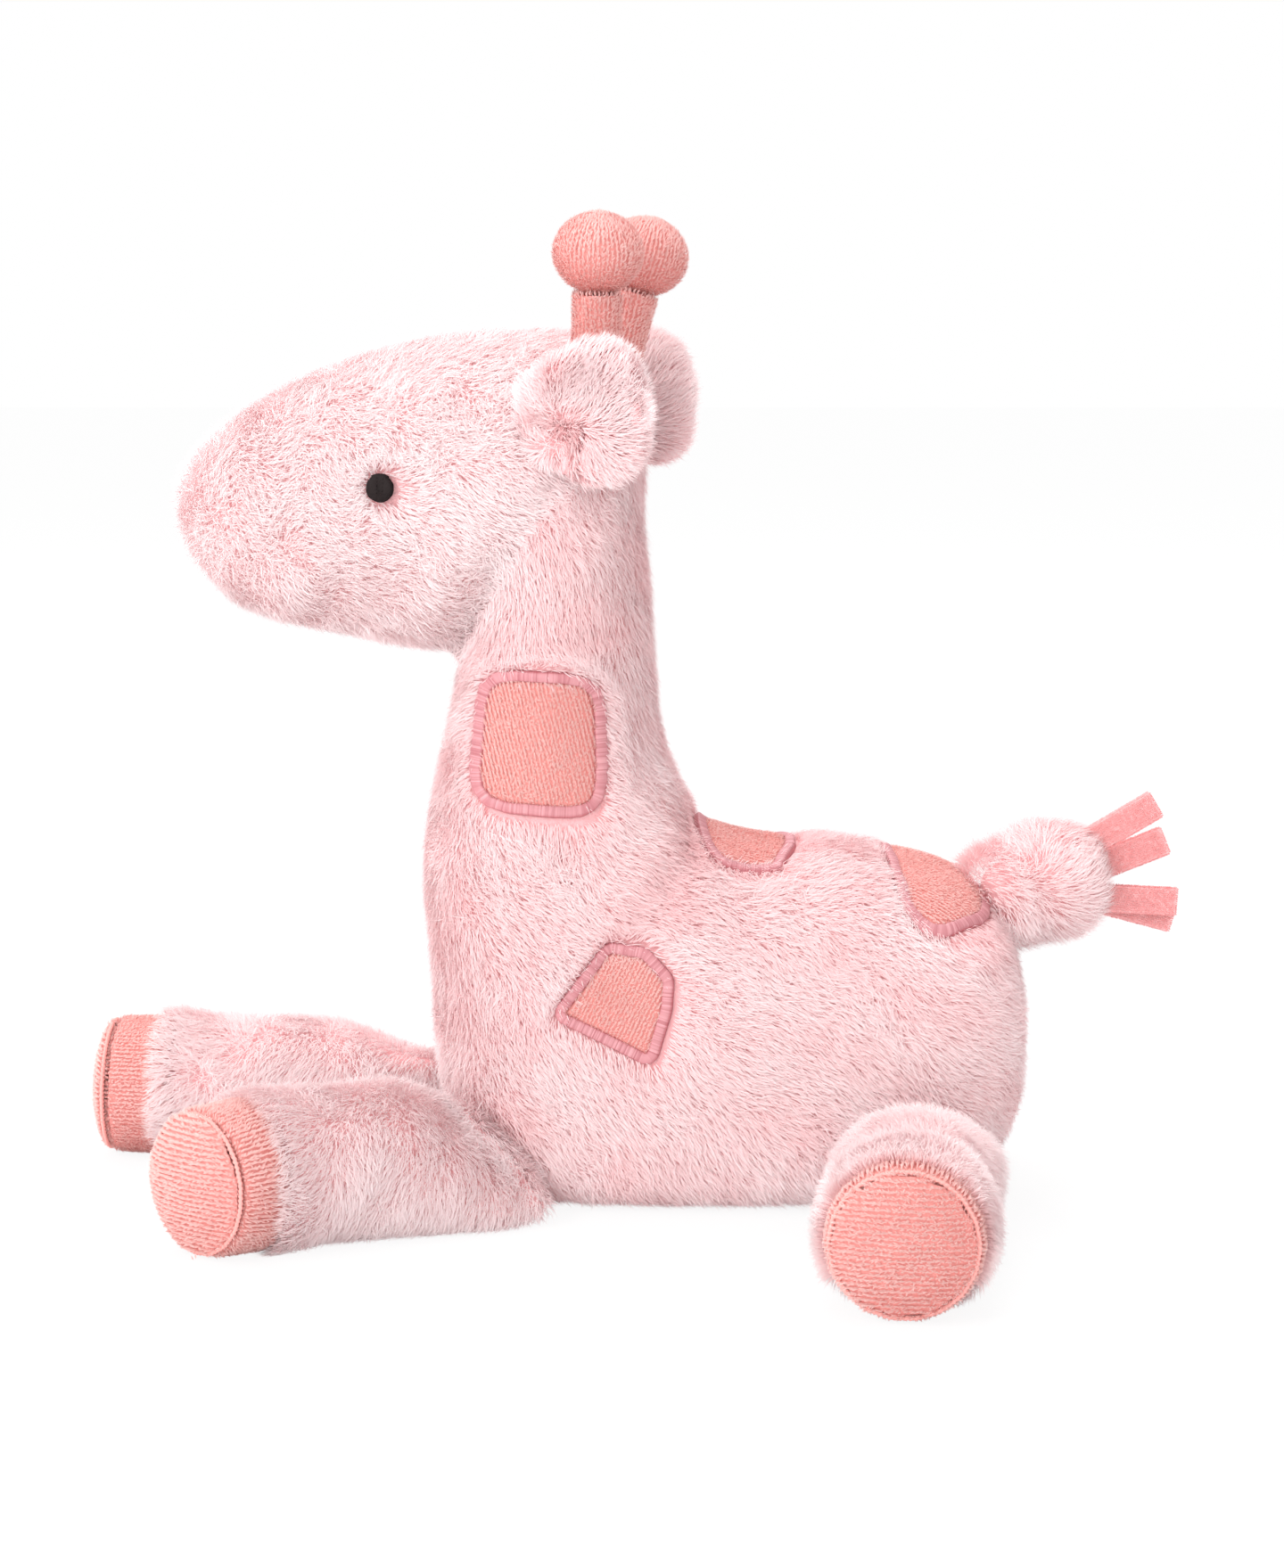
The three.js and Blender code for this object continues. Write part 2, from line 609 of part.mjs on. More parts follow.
// A horn: a round stalk with a stuffed knob, its round root seated in the crown.
function makeHorn(name, side) {
  const aim = new THREE.Vector3(headX(hornRootShare), side * hornSpacing, headHeight / 2);
  const { point } = surfacePoint(headForm, aim, UP);
  const root = point.clone().addScaledVector(UP, hornStalkRadius - rootSink);
  const turn = new THREE.Euler(-side * radians(hornSplay), radians(hornLean[name]), 0);
  const group = new THREE.Group();
  group.position.copy(root);
  group.setRotationFromEuler(turn);

  const profile = new THREE.Path();
  profile.moveTo(0, -hornStalkRadius);
  profile.absarc(0, 0, hornStalkRadius, -QUARTER_TURN, 0, false);
  profile.quadraticCurveTo(hornWaistShare * hornStalkRadius, hornHeight / 2, hornStalkRadius, hornHeight);
  profile.lineTo(0, hornHeight);
  const stalkForm = new THREE.LatheGeometry(profile.getPoints(5), limbAround).rotateX(QUARTER_TURN);
  const knobForm = new THREE.SphereGeometry(hornKnobRadius, limbAround, innerAround);
  knobForm.rotateX(QUARTER_TURN).scale(1, 1, hornKnobHalfHeight / hornKnobRadius);
  const knobMiddle = hornHeight + hornKnobSeatShare * hornKnobHalfHeight;
  knobForm.translate(0, 0, knobMiddle);
  const stalk = solid(stalkForm).subtract(solid(moved(welded(knobForm), seamGap)));
  group.add(piece(`${name}_horn_stalk`, stalk, coralVelour));
  group.add(piece(`${name}_horn_knob`, solid(knobForm), coralVelour));
  headGroup.add(group);
  headCuts.push(dimple(hornStalkRadius, root));
  addJoint(`${name}_horn`, root, new THREE.Vector3(0, 1, 0), headPlace);
}

makeHorn("left", -1);
makeHorn("right", 1);

// The tail: a short plush tube with its stuffing, gathered at the end round four cut strips.
const tailAim = new THREE.Vector3(tailAimShares[0] * bodyLength, 0, tailAimShares[1] * bodyHeight);
const tailAlong = new THREE.Vector3(Math.cos(radians(tailLift)), 0, Math.sin(radians(tailLift)));
const tailRoot = surfacePoint(bodyForm, tailAim, REAR).point.addScaledVector(REAR, tailRootRadius - rootSink);
const tailPlace = placing(tailRoot, tailAlong, RIGHT, new THREE.Vector3().crossVectors(tailAlong, RIGHT));
const tailGroup = new THREE.Group();
tailGroup.applyMatrix4(tailPlace);

const roundSection = (x, radius) =>
  section(new THREE.Vector3(x, 0, 0), new THREE.Vector3(0, 0, radius), new THREE.Vector3(0, radius, 0));
const tailBead = [35, 65, 90].map((turn) =>
  roundSection(-tailRootRadius * Math.cos(radians(turn)), tailRootRadius * Math.sin(radians(turn))),
);
const tailTube = tailShares.map(([x, radius]) => roundSection(x * tailLength, radius * tailRadius));
const tailSections = [...tailBead, ...tailTube];
const tailTip = new THREE.Vector3(tailLength * tailTipShare, 0, 0);
const tailForm = loft(tailSections, limbAround, new THREE.Vector3(-tailRootRadius, 0, 0), tailTip);
const tailBore = (wall) => {
  const mouth = roundSection(-2 * tailRootRadius, tailRootRadius - wall);
  return loft([mouth, ...drawnIn(tailSections, wall).slice(1, -1)], innerAround);
};
const tailRoom = solid(moved(tailForm, 2 * seamGap), tailPlace);
tailGroup.add(piece("tail_skin", solid(tailForm).subtract(solid(tailBore(plushWall))), skinPink));
const tailCore = solid(tailForm).intersect(solid(tailBore(plushWall + seamGap)));
tailGroup.add(piece("tail_stuffing", tailCore, stuffingWhite));
bodyCuts.push(dimple(tailRootRadius, tailRoot));
addJoint("tail", tailRoot, LEFT);

const tailOutside = solid(moved(tailForm, seamGap));
stripPlaces.forEach(([turn, height, aside], i) => {
  const root = new THREE.Vector3(tailTip.x - stripRoot, aside * stripThick, height * stripWidth);
  const turned = new THREE.Euler(0, radians(turn), 0);
  const group = new THREE.Group();
  group.position.copy(root);
  group.setRotationFromEuler(turned);
  group.updateMatrix();
  const form = new THREE.BoxGeometry(stripLength + stripRoot, stripThick, stripWidth);
  form.translate((stripLength + stripRoot) / 2, 0, 0);
  const end = tailOutside.transform(group.matrix.clone().invert().elements);
  group.add(piece(`tail_strip_${i + 1}`, solid(form).subtract(end), coralFelt));
  tailGroup.add(group);
  const place = tailPlace.clone().multiply(group.matrix);
  addJoint(`tail_strip_${i + 1}`, new THREE.Vector3(stripRoot, 0, 0), UP, place);
});

// Spots: each lies in a bed cut in the pile, inside a ring of satin stitching.
const bodyDown = (depth) => solid(moved(bodyForm, -depth));
const stitchTop = bodyDown(stitchDepth);
const patchTop = bodyDown(patchDepth);
const patchBack = bodyDown(patchBed);
const bedFloor = bodyDown(patchBed + seamGap);

function roundedOutline(points, corner) {
  const shape = new THREE.Shape();
  const at = (i) => points[(i + points.length) % points.length];
  points.forEach((point, i) => {
    const before = at(i - 1).clone().sub(point);
    const after = at(i + 1).clone().sub(point);
    const start = point.clone().addScaledVector(before, Math.min(corner / before.length(), 0.45));
    const end = point.clone().addScaledVector(after, Math.min(corner / after.length(), 0.45));
    if (i === 0) shape.moveTo(start.x, start.y);
    else shape.lineTo(start.x, start.y);
    shape.quadraticCurveTo(point.x, point.y, end.x, end.y);
  });
  return shape;
}

// A straight-sided punch in the shape of a spot, reaching from under the skin to well over it.
function punch(outline, width, height, corner, inset, matrix) {
  const across = width - 2 * inset;
  const up = height - 2 * inset;
  const points = outline.map(([x, y]) => new THREE.Vector2((x - 0.5) * across, (y - 0.5) * up));
  const shape = roundedOutline(points, Math.max(corner - inset, patchCorner / 4));
  const depth = 4 * plushWall;
  const form = new THREE.ExtrudeGeometry(shape, { depth, bevelEnabled: false, curveSegments: 3 });
  form.translate(0, 0, -depth * 0.75);
  return solid(form, matrix);
}

function makePatch(name, outline, width, height, corner, matrix) {
  const cut = (inset) => punch(outline, width, height, corner, inset, matrix);
  const spot = patchTop.subtract(patchBack).intersect(cut(stitchWidth)).subtract(tailRoom);
  const band = cut(seamGap).subtract(cut(stitchWidth - seamGap)).subtract(tailRoom);
  const ring = stitchTop.subtract(patchBack).intersect(band);
  bodyCuts.push(cut(0).subtract(bedFloor));
  return [piece(name, spot, coralVelour), piece(`${name}_stitching`, ring, roseThread)];
}

const bodyGroup = new THREE.Group();
for (const [sideName, side] of [["left", -1], ["right", 1]]) {
  const sideways = new THREE.Vector3(0, side, 0);
  for (const [name, outline, width, height, corner, placeShares] of [
    ["neck_patch", neckPatchShares, neckPatchWidth, neckPatchHeight, neckPatchCorner, neckPatchPlaceShares],
    ["flank_patch", flankPatchShares, flankPatchWidth, flankPatchHeight, patchCorner, flankPatchPlaceShares],
  ]) {
    const aim = new THREE.Vector3(placeShares[0] * bodyLength, 0, placeShares[1] * bodyHeight);
    const { point } = surfacePoint(bodyForm, aim, sideways);
    // Outlines are drawn as the left side shows them, so on the right they are turned round to match.
    const matrix = placing(point, REAR, UP, sideways.clone());
    bodyGroup.add(...makePatch(`${sideName}_${name}`, outline, width, height, corner, matrix));
  }
}
for (const [name, outline, width, height, placeShares, tilt] of [
  [
    "saddle_patch", saddlePatchShares, saddlePatchWidth, saddlePatchHeight,
    saddlePatchPlaceShares, saddleTilt,
  ],
  ["rump_patch", rumpPatchShares, rumpPatchWidth, rumpPatchHeight, rumpPatchPlaceShares, rumpTilt],
]) {
  const aim = new THREE.Vector3(placeShares[0] * bodyLength, 0, placeShares[1] * bodyHeight);
  const out = new THREE.Vector3(Math.sin(radians(tilt)), 0, Math.cos(radians(tilt)));
  const { point } = surfacePoint(bodyForm, aim, out);
  const rearward = new THREE.Vector3(Math.cos(radians(tilt)), 0, -Math.sin(radians(tilt)));
  const matrix = placing(point, rearward, RIGHT, out);
  bodyGroup.add(...makePatch(name, outline, width, height, patchCorner * 2, matrix));
}

// Eyes: flat pads of black embroidery, sunk among the pile.
for (const [name, side] of [["left", -1], ["right", 1]]) {
  const aim = new THREE.Vector3(headX(eyeShares[0]), 0, eyeShares[1] * headHeight);
  const { point, normal } = surfacePoint(headForm, aim, new THREE.Vector3(0, side, 0));
  const turn = new THREE.Quaternion().setFromUnitVectors(new THREE.Vector3(0, 1, 0), normal);
  const place = new THREE.Matrix4().compose(point, turn, new THREE.Vector3(1, 1, 1));
  const drill = (radius) =>
    solid(new THREE.CylinderGeometry(radius, radius, 2 * plushWall, limbAround), place);
  const pad = solid(moved(headForm, -eyeDepth)).subtract(solid(moved(headForm, -eyeBed)));
  headGroup.add(piece(`${name}_eye`, pad.intersect(drill(eyeRadius)), blackThread));
  headCuts.push(drill(eyeRadius + seamGap).subtract(solid(moved(headForm, -eyeBed - seamGap))));
}

// The two big skins and their stuffing. The neck runs up through an opening in the head's underside.
const cutAll = (made, cuts) => cuts.reduce((left, cut) => left.subtract(cut), made);
const headOutside = solid(moved(headForm, seamGap), headPlace);
const bodyShell = solid(bodyForm).subtract(solid(bodyInner(plushWall)));
const bodySkin = cutAll(bodyShell, [underFloor(), headOutside, ...bodyCuts]);
const neckOpening = solid(bodyInner(plushWall), intoHead);
const headSkin = cutAll(solid(headForm).subtract(solid(headInner(plushWall))), [neckOpening, ...headCuts]);
const headCore = solid(headInner(plushWall + seamGap));
const headRoom = solid(headInner(plushWall), headPlace);
bodyGroup.add(piece("body_skin", bodySkin, skinPink));
const bodyCore = solid(bodyInner(plushWall + seamGap)).subtract(headRoom);
bodyGroup.add(piece("body_stuffing", bodyCore, stuffingWhite));
headGroup.add(piece("head_skin", headSkin, skinPink));
headGroup.add(piece("head_stuffing", headCore, stuffingWhite));

const toy = new THREE.Group();
toy.add(bodyGroup, headGroup, tailGroup, ...legGroups);
toy.updateMatrixWorld(true);
const box = new THREE.Box3().setFromObject(toy, true);
const giraffe = new THREE.Group();
toy.position.set(-(box.min.x + box.max.x) / 2, -(box.min.y + box.max.y) / 2, -box.min.z);
giraffe.add(toy);
for (const { pivot } of Object.values(joints)) pivot.add(toy.position);
giraffe.userData.joints = joints;

export default giraffe;
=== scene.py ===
"""Dresses the stuffed giraffe's solids: backing cloth and combed pile, knitted velour for the hooves,
horns and spots, satin stitching, embroidered eyes and a cut-ended tail, on a plain white studio floor."""
import json
import math

import bmesh
import bpy
import numpy as np
from bpy.props import FloatProperty, FloatVectorProperty, PointerProperty
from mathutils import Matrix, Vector, geometry
from mathutils.bvhtree import BVHTree


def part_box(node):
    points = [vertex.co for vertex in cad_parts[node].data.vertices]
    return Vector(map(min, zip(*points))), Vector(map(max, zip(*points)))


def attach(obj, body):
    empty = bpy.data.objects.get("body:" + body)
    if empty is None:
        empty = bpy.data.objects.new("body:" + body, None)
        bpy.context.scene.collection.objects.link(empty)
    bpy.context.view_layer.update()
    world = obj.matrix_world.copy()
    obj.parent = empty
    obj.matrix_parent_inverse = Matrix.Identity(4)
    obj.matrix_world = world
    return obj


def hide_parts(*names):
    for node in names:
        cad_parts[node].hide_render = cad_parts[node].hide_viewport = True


bl_info = {
    "name": "Plush giraffe",
    "version": (1, 0, 0),
    "blender": (4, 5, 0),
    "location": "3D View > Sidebar > Giraffe",
    "description": "Covers a stuffed giraffe's solids in pile, velour and stitching, and sets its studio",
    "category": "Object",
}

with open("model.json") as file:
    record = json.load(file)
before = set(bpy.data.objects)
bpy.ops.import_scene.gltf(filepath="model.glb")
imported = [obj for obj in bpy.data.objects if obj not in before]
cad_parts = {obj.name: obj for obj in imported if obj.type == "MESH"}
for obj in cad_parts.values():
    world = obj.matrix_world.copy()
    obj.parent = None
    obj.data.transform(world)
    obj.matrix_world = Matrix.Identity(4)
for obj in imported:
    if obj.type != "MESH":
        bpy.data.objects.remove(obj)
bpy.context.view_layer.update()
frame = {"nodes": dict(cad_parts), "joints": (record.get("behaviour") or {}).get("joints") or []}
NODES = frame["nodes"]
JOINTS = {joint["child"]: joint for joint in frame["joints"]}
LEGS = ("front_left", "front_right", "rear_left", "rear_right")

# The nose points along -X, and the two sides of the toy lie this way along Y
SIDES = {"left": -1.0, "right": 1.0}
TAILWARDS, RIGHTWARDS, UPWARDS = np.eye(3)


def leant_back(degrees):
    """Straight up, leant towards the tail."""
    return (math.sin(math.radians(degrees)), 0.0, math.cos(math.radians(degrees)))


# Each spot: the way it faces, the way from one knitted row to the next, and how its loops lean
LEFT_FACE, RIGHT_FACE = (0.0, -1.0, 0.0), (0.0, 1.0, 0.0)
NECK_ROWS, FLANK_ROWS, BACK_ROWS = (1.0, 0.0, 0.25), (0.9, 0.0, -0.45), (0.3, 1.0, 0.0)
SPOTS = {
    "left_neck_patch": (LEFT_FACE, NECK_ROWS, 1.0),
    "right_neck_patch": (RIGHT_FACE, NECK_ROWS, 1.0),
    "left_flank_patch": (LEFT_FACE, FLANK_ROWS, 1.0),
    "right_flank_patch": (RIGHT_FACE, FLANK_ROWS, 1.0),
    "saddle_patch": (leant_back(4), BACK_ROWS, -1.0),
    "rump_patch": (leant_back(26), BACK_ROWS, -1.0),
}

# Where a spot that crosses the back ends on each flank, from the middle of the body
SPOT_REACH = {"saddle_patch": 0.0205}

# A spot's cloth in rings from its middle to its border: shares of the way out, and of its height
SPOT_SHARES = (0.08, 0.2, 0.35, 0.5, 0.65, 0.78, 0.88, 0.95, 1.0, 1.02)
SPOT_HEIGHT_SHARES = (1.0, 1.0, 1.0, 1.0, 1.0, 0.98, 0.93, 0.85, 0.7, 0.1)
SPOT_SINK, SPOT_FINENESS = 0.0017, 0.8

# Satin stitching in rows across its band: shares of the band's width, and of the pile's depth
SATIN_SHARES = (-0.06, 0.0, 0.07, 0.18, 0.5, 0.82, 0.93, 1.0, 1.04)
SATIN_HEIGHT_SHARES = (0.2, 0.50, 0.58, 0.62, 0.64, 0.62, 0.57, 0.48, 0.05)
# Each satin thread's tint from rose to pale thread: its middle, its spread, which is painted glints, and how
# near the ends it may come
SATIN_TINT, SATIN_GLINT_JITTER, SATIN_TINT_EDGE = 0.48, 0.24, 0.02

# Folds in the cloth, on the left side: the points that each runs through
UPPER_NECK_FOLD = (
    (-0.040, -0.026, 0.163),
    (-0.030, -0.034, 0.1585),
    (-0.016, -0.0345, 0.158),
    (-0.004, -0.028, 0.161),
)
LOWER_NECK_FOLD = ((-0.044, -0.022, 0.153), (-0.034, -0.033, 0.1485), (-0.024, -0.036, 0.149))
HEAD_SEAM = ((-0.0215, -0.030, 0.2010), (-0.0290, -0.034, 0.1800), (-0.0375, -0.030, 0.1620))
SHOULDER_FOLD = (
    (0.019, -0.010, 0.108),
    (0.016, -0.030, 0.098),
    (0.006, -0.042, 0.086),
    (-0.002, -0.046, 0.078),
)


def on_both_sides(line, depth, width):
    """A fold on the left side, and the same on the right."""
    return (line, depth, width), ([(x, -y, z) for x, y, z in line], depth, width)


# Each fold's line, depth and width, and the swell beside it
BODY_FOLDS = (
    (UPPER_NECK_FOLD, 0.0030, 0.0032),
    (LOWER_NECK_FOLD, 0.0022, 0.0028),
    *on_both_sides(SHOULDER_FOLD, 0.0014, 0.0060),
    *on_both_sides(HEAD_SEAM, 0.0022, 0.0026),
)
SWELL_SHARE, SWELL_WIDTH_SHARE = 0.45, 2.4

# The cloth's own waves, and how far it and its pile stay off the floor
CLOTH_WAVE, CLOTH_WAVE_SIZE, CLOTH_WAVE_SEED = 0.0007, 0.030, 5
CLOTH_OFF_FLOOR, PILE_OFF_FLOOR = 0.0012, 0.0002

# Each form's voxel, its smoothing steps and, where its pile's depth doesn't say, how far it is drawn in
BODY_FORM = (0.0024, 10)
LEG_FORM = (0.0020, 8, 0.0034)
EAR_FORM = (0.0014, 6, 0.0036)
TAIL_FORM = (0.0018, 6, 0.0026)
HOOF_FORM = (0.0011, 8)
HORN_VOXEL, KNOB_STEPS, STALK_STEPS = 0.0010, 8, 14

# How full each piece is, and the seed of its pile, to which like pieces add their number in turn
FILLS = {"body": 0.8, "head": 0.9, "leg": 0.7, "hoof": 0.8, "ear": 0.6, "horn": 0.9, "tail": 0.7}
SEEDS = {"body": 11, "head": 12, "leg": 20, "hoof": 40, "ear": 60, "horn": 70, "tail": 80, "strip": 90}
SPOT_SEED, SEAM_SEED = 100, 7

# What scattered strands and scattered loops add to their seed
STRAND_SEED_STEP, LOOP_SEED_STEP = 50, 20

# How a form is drawn in: rounds and steps, the most of its thickness, and less where it meets another
DRAWING_ROUNDS, DRAWING_STEPS, SMOOTHING = 3, 3, 0.5
MOST_DRAWN_SHARE = 0.27
JOIN_REACH, JOIN_SHARE = 0.009, 0.15

# How near and how far a surface is looked for
NEAR, FAR, SKIN_SEARCH = 0.002, 0.02, 0.1

# In a square metre
SQUARE_MILLIMETRES = 1e6

# A length that counts as none, and the steps that give each clump's cell a number of its own
NO_LENGTH, CELL_STEPS = 1e-12, (1, 4099, 16785409)

# Smooth noise: how many waves it sums, how fast they turn and how high they stand together
WAVES, WAVE_RATE, WAVE_LEVEL = 9, 2.2, 3.5

# Pile: how it varies from strand to strand, and how it is clumped, tinted and parted from the trims; its
# tints in folds and underneath are painted shade
PATCH = 0.012
PILE_STAND, PILE_WANDER = 0.62, 0.35
LEAN_JITTER, STAND_JITTER = 0.30, 0.16
SHORTEST, LENGTH_RANGE = 0.78, 0.40
NARROWEST, WIDTH_RANGE = 0.75, 0.5
ROOT_BEND, TIP_BEND = 0.45, 0.35
CLUMP_FRAY, CLUMP_PULL = 0.3, 0.28
TINT, TINT_JITTER, TINT_PATCHES = 0.28, 0.16, 0.26
# Painted shade in the folds: the pile is tinted deeper along each fold's line
FOLD_PAINTED_SHADE, FOLD_SHADE_WIDTH_SHARE = 1.1, 1.2
# Painted shade: the pile's tint deepens on the belly and on every underside, where less light falls
BELLY_PAINTED_SHADE, BELLY_SHADE_SLOPE, UNDERSIDE_PAINTED_SHADE = 0.35, 0.55, 0.10
TRIM_REACH, TRIM_LEAN, TRIM_SHORTENING, TRIM_DEPTH = 0.006, 2.4, 0.40, 0.012
MOST_STRANDS = 95000

# Velour: how its rows waver, and how its loops stand, lean and vary in width
ROW_WAVER, ROW_WAVER_SIZE, ROW_JITTER = 0.10, 0.010, 0.10
LEAST_SLOPE = 0.05
LOOP_ALONG, LOOP_ACROSS = 0.9, 0.12
LOOP_STAND, LOOP_WANDER = 0.75, 0.12
NARROWEST_LOOP, LOOP_RANGE = 0.8, 0.4
STRIP_FINENESS = 0.45

# How the pile lies on the neck and the flanks, and where the one turns into the other
NECK_LIE, FLANK_LIE = np.array([0.12, 0.0, -1.0]), np.array([0.80, 0.0, -0.62])
SHOULDER_HEIGHT, SHOULDER_BLEND = 0.085, 0.05
WITHERS, WITHERS_BLEND = 0.045, 0.02

# How the pile lies on the head: back over the crown, parted from the middle, and down the cheeks
HEAD_BACK, HEAD_PART, HEAD_PART_WIDTH, HEAD_DOWN = 0.6, 0.22, 0.02, -0.30
# The head's pile is made paler: painted light, for the brighter light on the head
HEAD_PAINTED_LIGHT = 0.4

# The legs' pile: its hem over the cuff, its swell there, how it strays and stands, and its paleness, which
# is painted light.
# The swell and the combing towards the hoof fade away from the cuff
LEG_PILE = {
    "front": {"hem": 0.0015, "swell": 0.0026, "wander": 0.5, "lift": 0.62, "pale": 0.6},
    "rear": {"hem": 0.0125, "swell": 0.0024, "wander": 0.7, "lift": 0.85, "pale": 0.75},
}
CUFF_SWELL_START, CUFF_SWELL_REACH, CUFF_COMB_REACH = 1.3, 0.012, 0.014
HEM_SEARCH, HEM_SLOPE, LEAST_COMBED = 0.03, 0.5, 0.3
HOOF_RADIUS, KNOB_RADIUS, STALK_RADIUS = 0.021, 0.0126, 0.0072
FILLING_GAP = 0.0016

# The hooves' seams: a cord of twisted thread, let into the rim
SEAM_PLACES, SEAM_SIDES, SEAM_TWIST = 360, 8, 4
SEAM_RADIUS, SEAM_TWIST_SHARE = 0.0006, 0.25
SEAM_SINK, SEAM_DROP = 0.0014, 0.0006
RIM_SHARE, RIM_GAP, RIM_ROUNDS, BORDER_ROUNDS = 0.93, 0.0002, 20, 6

# The ears: their fold in shares of the ear's width and height, its size, and their looser pile
EAR_FOLD_SHARES = ((0.15, 0.39), (0.29, 0.36), (0.42, 0.37), (0.39, 0.27), (0.28, 0.17))
EAR_FOLD_DEPTH, EAR_FOLD_WIDTH, EAR_PARTING = 0.0038, 0.0022, 0.0011
EAR_SWELL, EAR_SWELL_START, EAR_SWELL_REACH = 0.0030, 1.2, 0.014
EAR_LIE = np.array([0.45, 0, 0.25])
EAR_PILE = {"length": 0.0066, "lift": 0.55, "wander": 0.6, "density": 7.0}

# The tail's pile, fuller towards its root
TAIL_SWELL, TAIL_SWELL_REACH = 0.0045, 0.022
TAIL_LIE = np.array([0.9, 0, 0.1])
TAIL_PILE = {"length": 0.0080, "lift": 0.85, "wander": 0.6, "density": 5.0, "pale": 0.25}
TAIL_STRIPS = 4

# The eyes' embroidery: its rings as shares of the radius, and its heights over the cloth
EYE_TURNS = 216
EYE_SHARES = (*np.arange(0.05, 0.99, 0.03), 1.0, 1.03, 1.0)
EYE_HEIGHT, EYE_CROWN, EYE_RIM_DROP, EYE_SINK = 0.0040, 0.0009, 0.0012, 0.0015
EYE_THREAD_SLANT = 0.3

# Turns round a leg or horn, and round a sole, are counted from these directions
ROWS_START, RIM_START = (0.31, 0.22, 0.92), (0.1, 0.2, 0.9)

# How far out a flat outline starts when it is dropped onto the cloth, and what it is taken back by
DROP, DROP_BACK = 0.25, 0.2

# On the colour map: how far a strand's corners are apart, and how near to its edges they come
MAP_STEP, MAP_EDGE, MAP_ENDS = 0.004, 0.01, 0.02

# The fibres' look: their shine, the light that passes from behind, and how their colour runs
FIBRE = {"Roughness": 0.85, "Specular_IOR_Level": 0.05, "Sheen_Roughness": 0.45}
FIBRE_THROUGH, FIBRE_CURVE, FIBRE_TINT, DEEP_SHARE = 0.45, 0.8, 0.55, 0.4
PILE_ROOT, LOOP_ROOT = 0.75, 0.9
PILE_SHEEN, LOOP_SHEEN, STRIP_SHEEN = 0.15, 0.12, 0.1
STRIP_TIP, BLACK_TIP = 1.1, 3

# The backing's look, the painted shade at the sides of each row of thread, and each thread's roughness and
# gloss
CLOTH = {"Roughness": 0.95, "Specular_IOR_Level": 0.1}
CLOTH_DETAIL, BLOTCH_SCALE, BLOTCH_DETAIL, CLOTH_SHARE = 4.0, 35.0, 2.0, 0.6
CLOTH_DARK, CLOTH_BUMP = 0.85, 0.0006
PLUSH_WEAVE, KNIT_WEAVE = 900.0, 1400.0
THREAD_SIDE_SHADE = 0.8
ROSE_LOOK, CORAL_LOOK, BLACK_LOOK = (0.45, 0.4), (0.7, 0.1), (0.5, 0.12)

# The studio: each lamp's place, what it is aimed at and its size
LAMPS = {
    "key": ((-1.1, -1.05, 1.15), (0, 0, 0.1), 0.8),
    "fill": ((-0.45, -1.6, 0.3), (-0.08, 0, 0.04), 1.2),
    "rim": ((-0.1, 0.7, 1.5), (0, 0, 0.1), 1.2),
}
FLOOR_SIZE, FLOOR_PLACE, FLOOR_GLOW = 8.0, (0, 1.0, 0), 0.90
PAPER, WHITE = (0.96, 0.96, 0.96, 1.0), (1, 1, 1, 1)
SENSOR_WIDTH, NEAREST_SEEN = 36.0, 0.05


def number(name, description, default, **kind):
    return FloatProperty(name=name, description=description, default=default, **kind)


def measured(name, description, default):
    return number(name, description, default, unit="LENGTH")


def crowded(what, default):
    return number("Density", what + " in each square millimetre", default, min=0.1)


def dyed(name, description, default):
    kind = {"subtype": "COLOR", "min": 0, "max": 1}
    return FloatVectorProperty(name=name, description=description, default=default, **kind)


class PlushSizes(bpy.types.PropertyGroup):
    """The long pale pile"""

    length: measured("Pile length", "Length of one strand", 0.0066)
    depth: measured("Backing depth", "From the tips down to the cloth", 0.0036)
    width: measured("Strand width", "Width of one tuft of fibres", 0.00027)
    density: crowded("Strands", 4.6)
    clump: measured("Clump size", "Across one group of strands", 0.0023)
    # The root colour is a deeper pink than the fibres' own: painted shade deep in the pile. The pale tips
    # are partly the fibres' own paler ends, partly painted sheen
    root: dyed("Root colour", "Deep in the pile", (0.96, 0.54, 0.555))
    tip: dyed("Tip colour", "At the ends of the pile", (0.985, 0.905, 0.908))


class VelourSizes(bpy.types.PropertyGroup):
    """The short coral velour, knitted in rows"""

    length: measured("Loop length", "Length of one loop", 0.0017)
    depth: measured("Backing depth", "From the loops' tops down to the cloth", 0.0008)
    width: measured("Loop width", "Width of one loop", 0.00044)
    density: crowded("Loops", 4.2)
    pitch: measured("Row pitch", "From one knitted row to the next", 0.00135)
    # The root colour between the rows is painted shade, and the paler loop tips are partly painted sheen
    root: dyed("Root colour", "Between the rows", (0.86, 0.37, 0.34))
    tip: dyed("Tip colour", "On top of the loops", (0.93, 0.765, 0.735))


class ThreadSizes(bpy.types.PropertyGroup):
    """Satin stitching and embroidery"""

    pitch: measured("Thread pitch", "From one thread to the next", 0.00034)
    band: measured("Band width", "Across the satin stitch", 0.0029)
    rise: measured("Ridge", "How far each thread stands over its neighbours' joins", 0.00012)
    rose: dyed("Rose thread", "Around the spots", (0.44, 0.14, 0.16))
    # The pale thread colour is a painted glint on the satin
    pale: dyed("Pale thread", "Where the spots' border catches the light", (0.66, 0.32, 0.34))
    coral: dyed("Coral thread", "In the hooves' seams", (0.74, 0.36, 0.33))
    strip: dyed("Strip colour", "The tail's cut strips", (0.93, 0.53, 0.53))
    black: dyed("Black thread", "The eyes", (0.008, 0.005, 0.005))


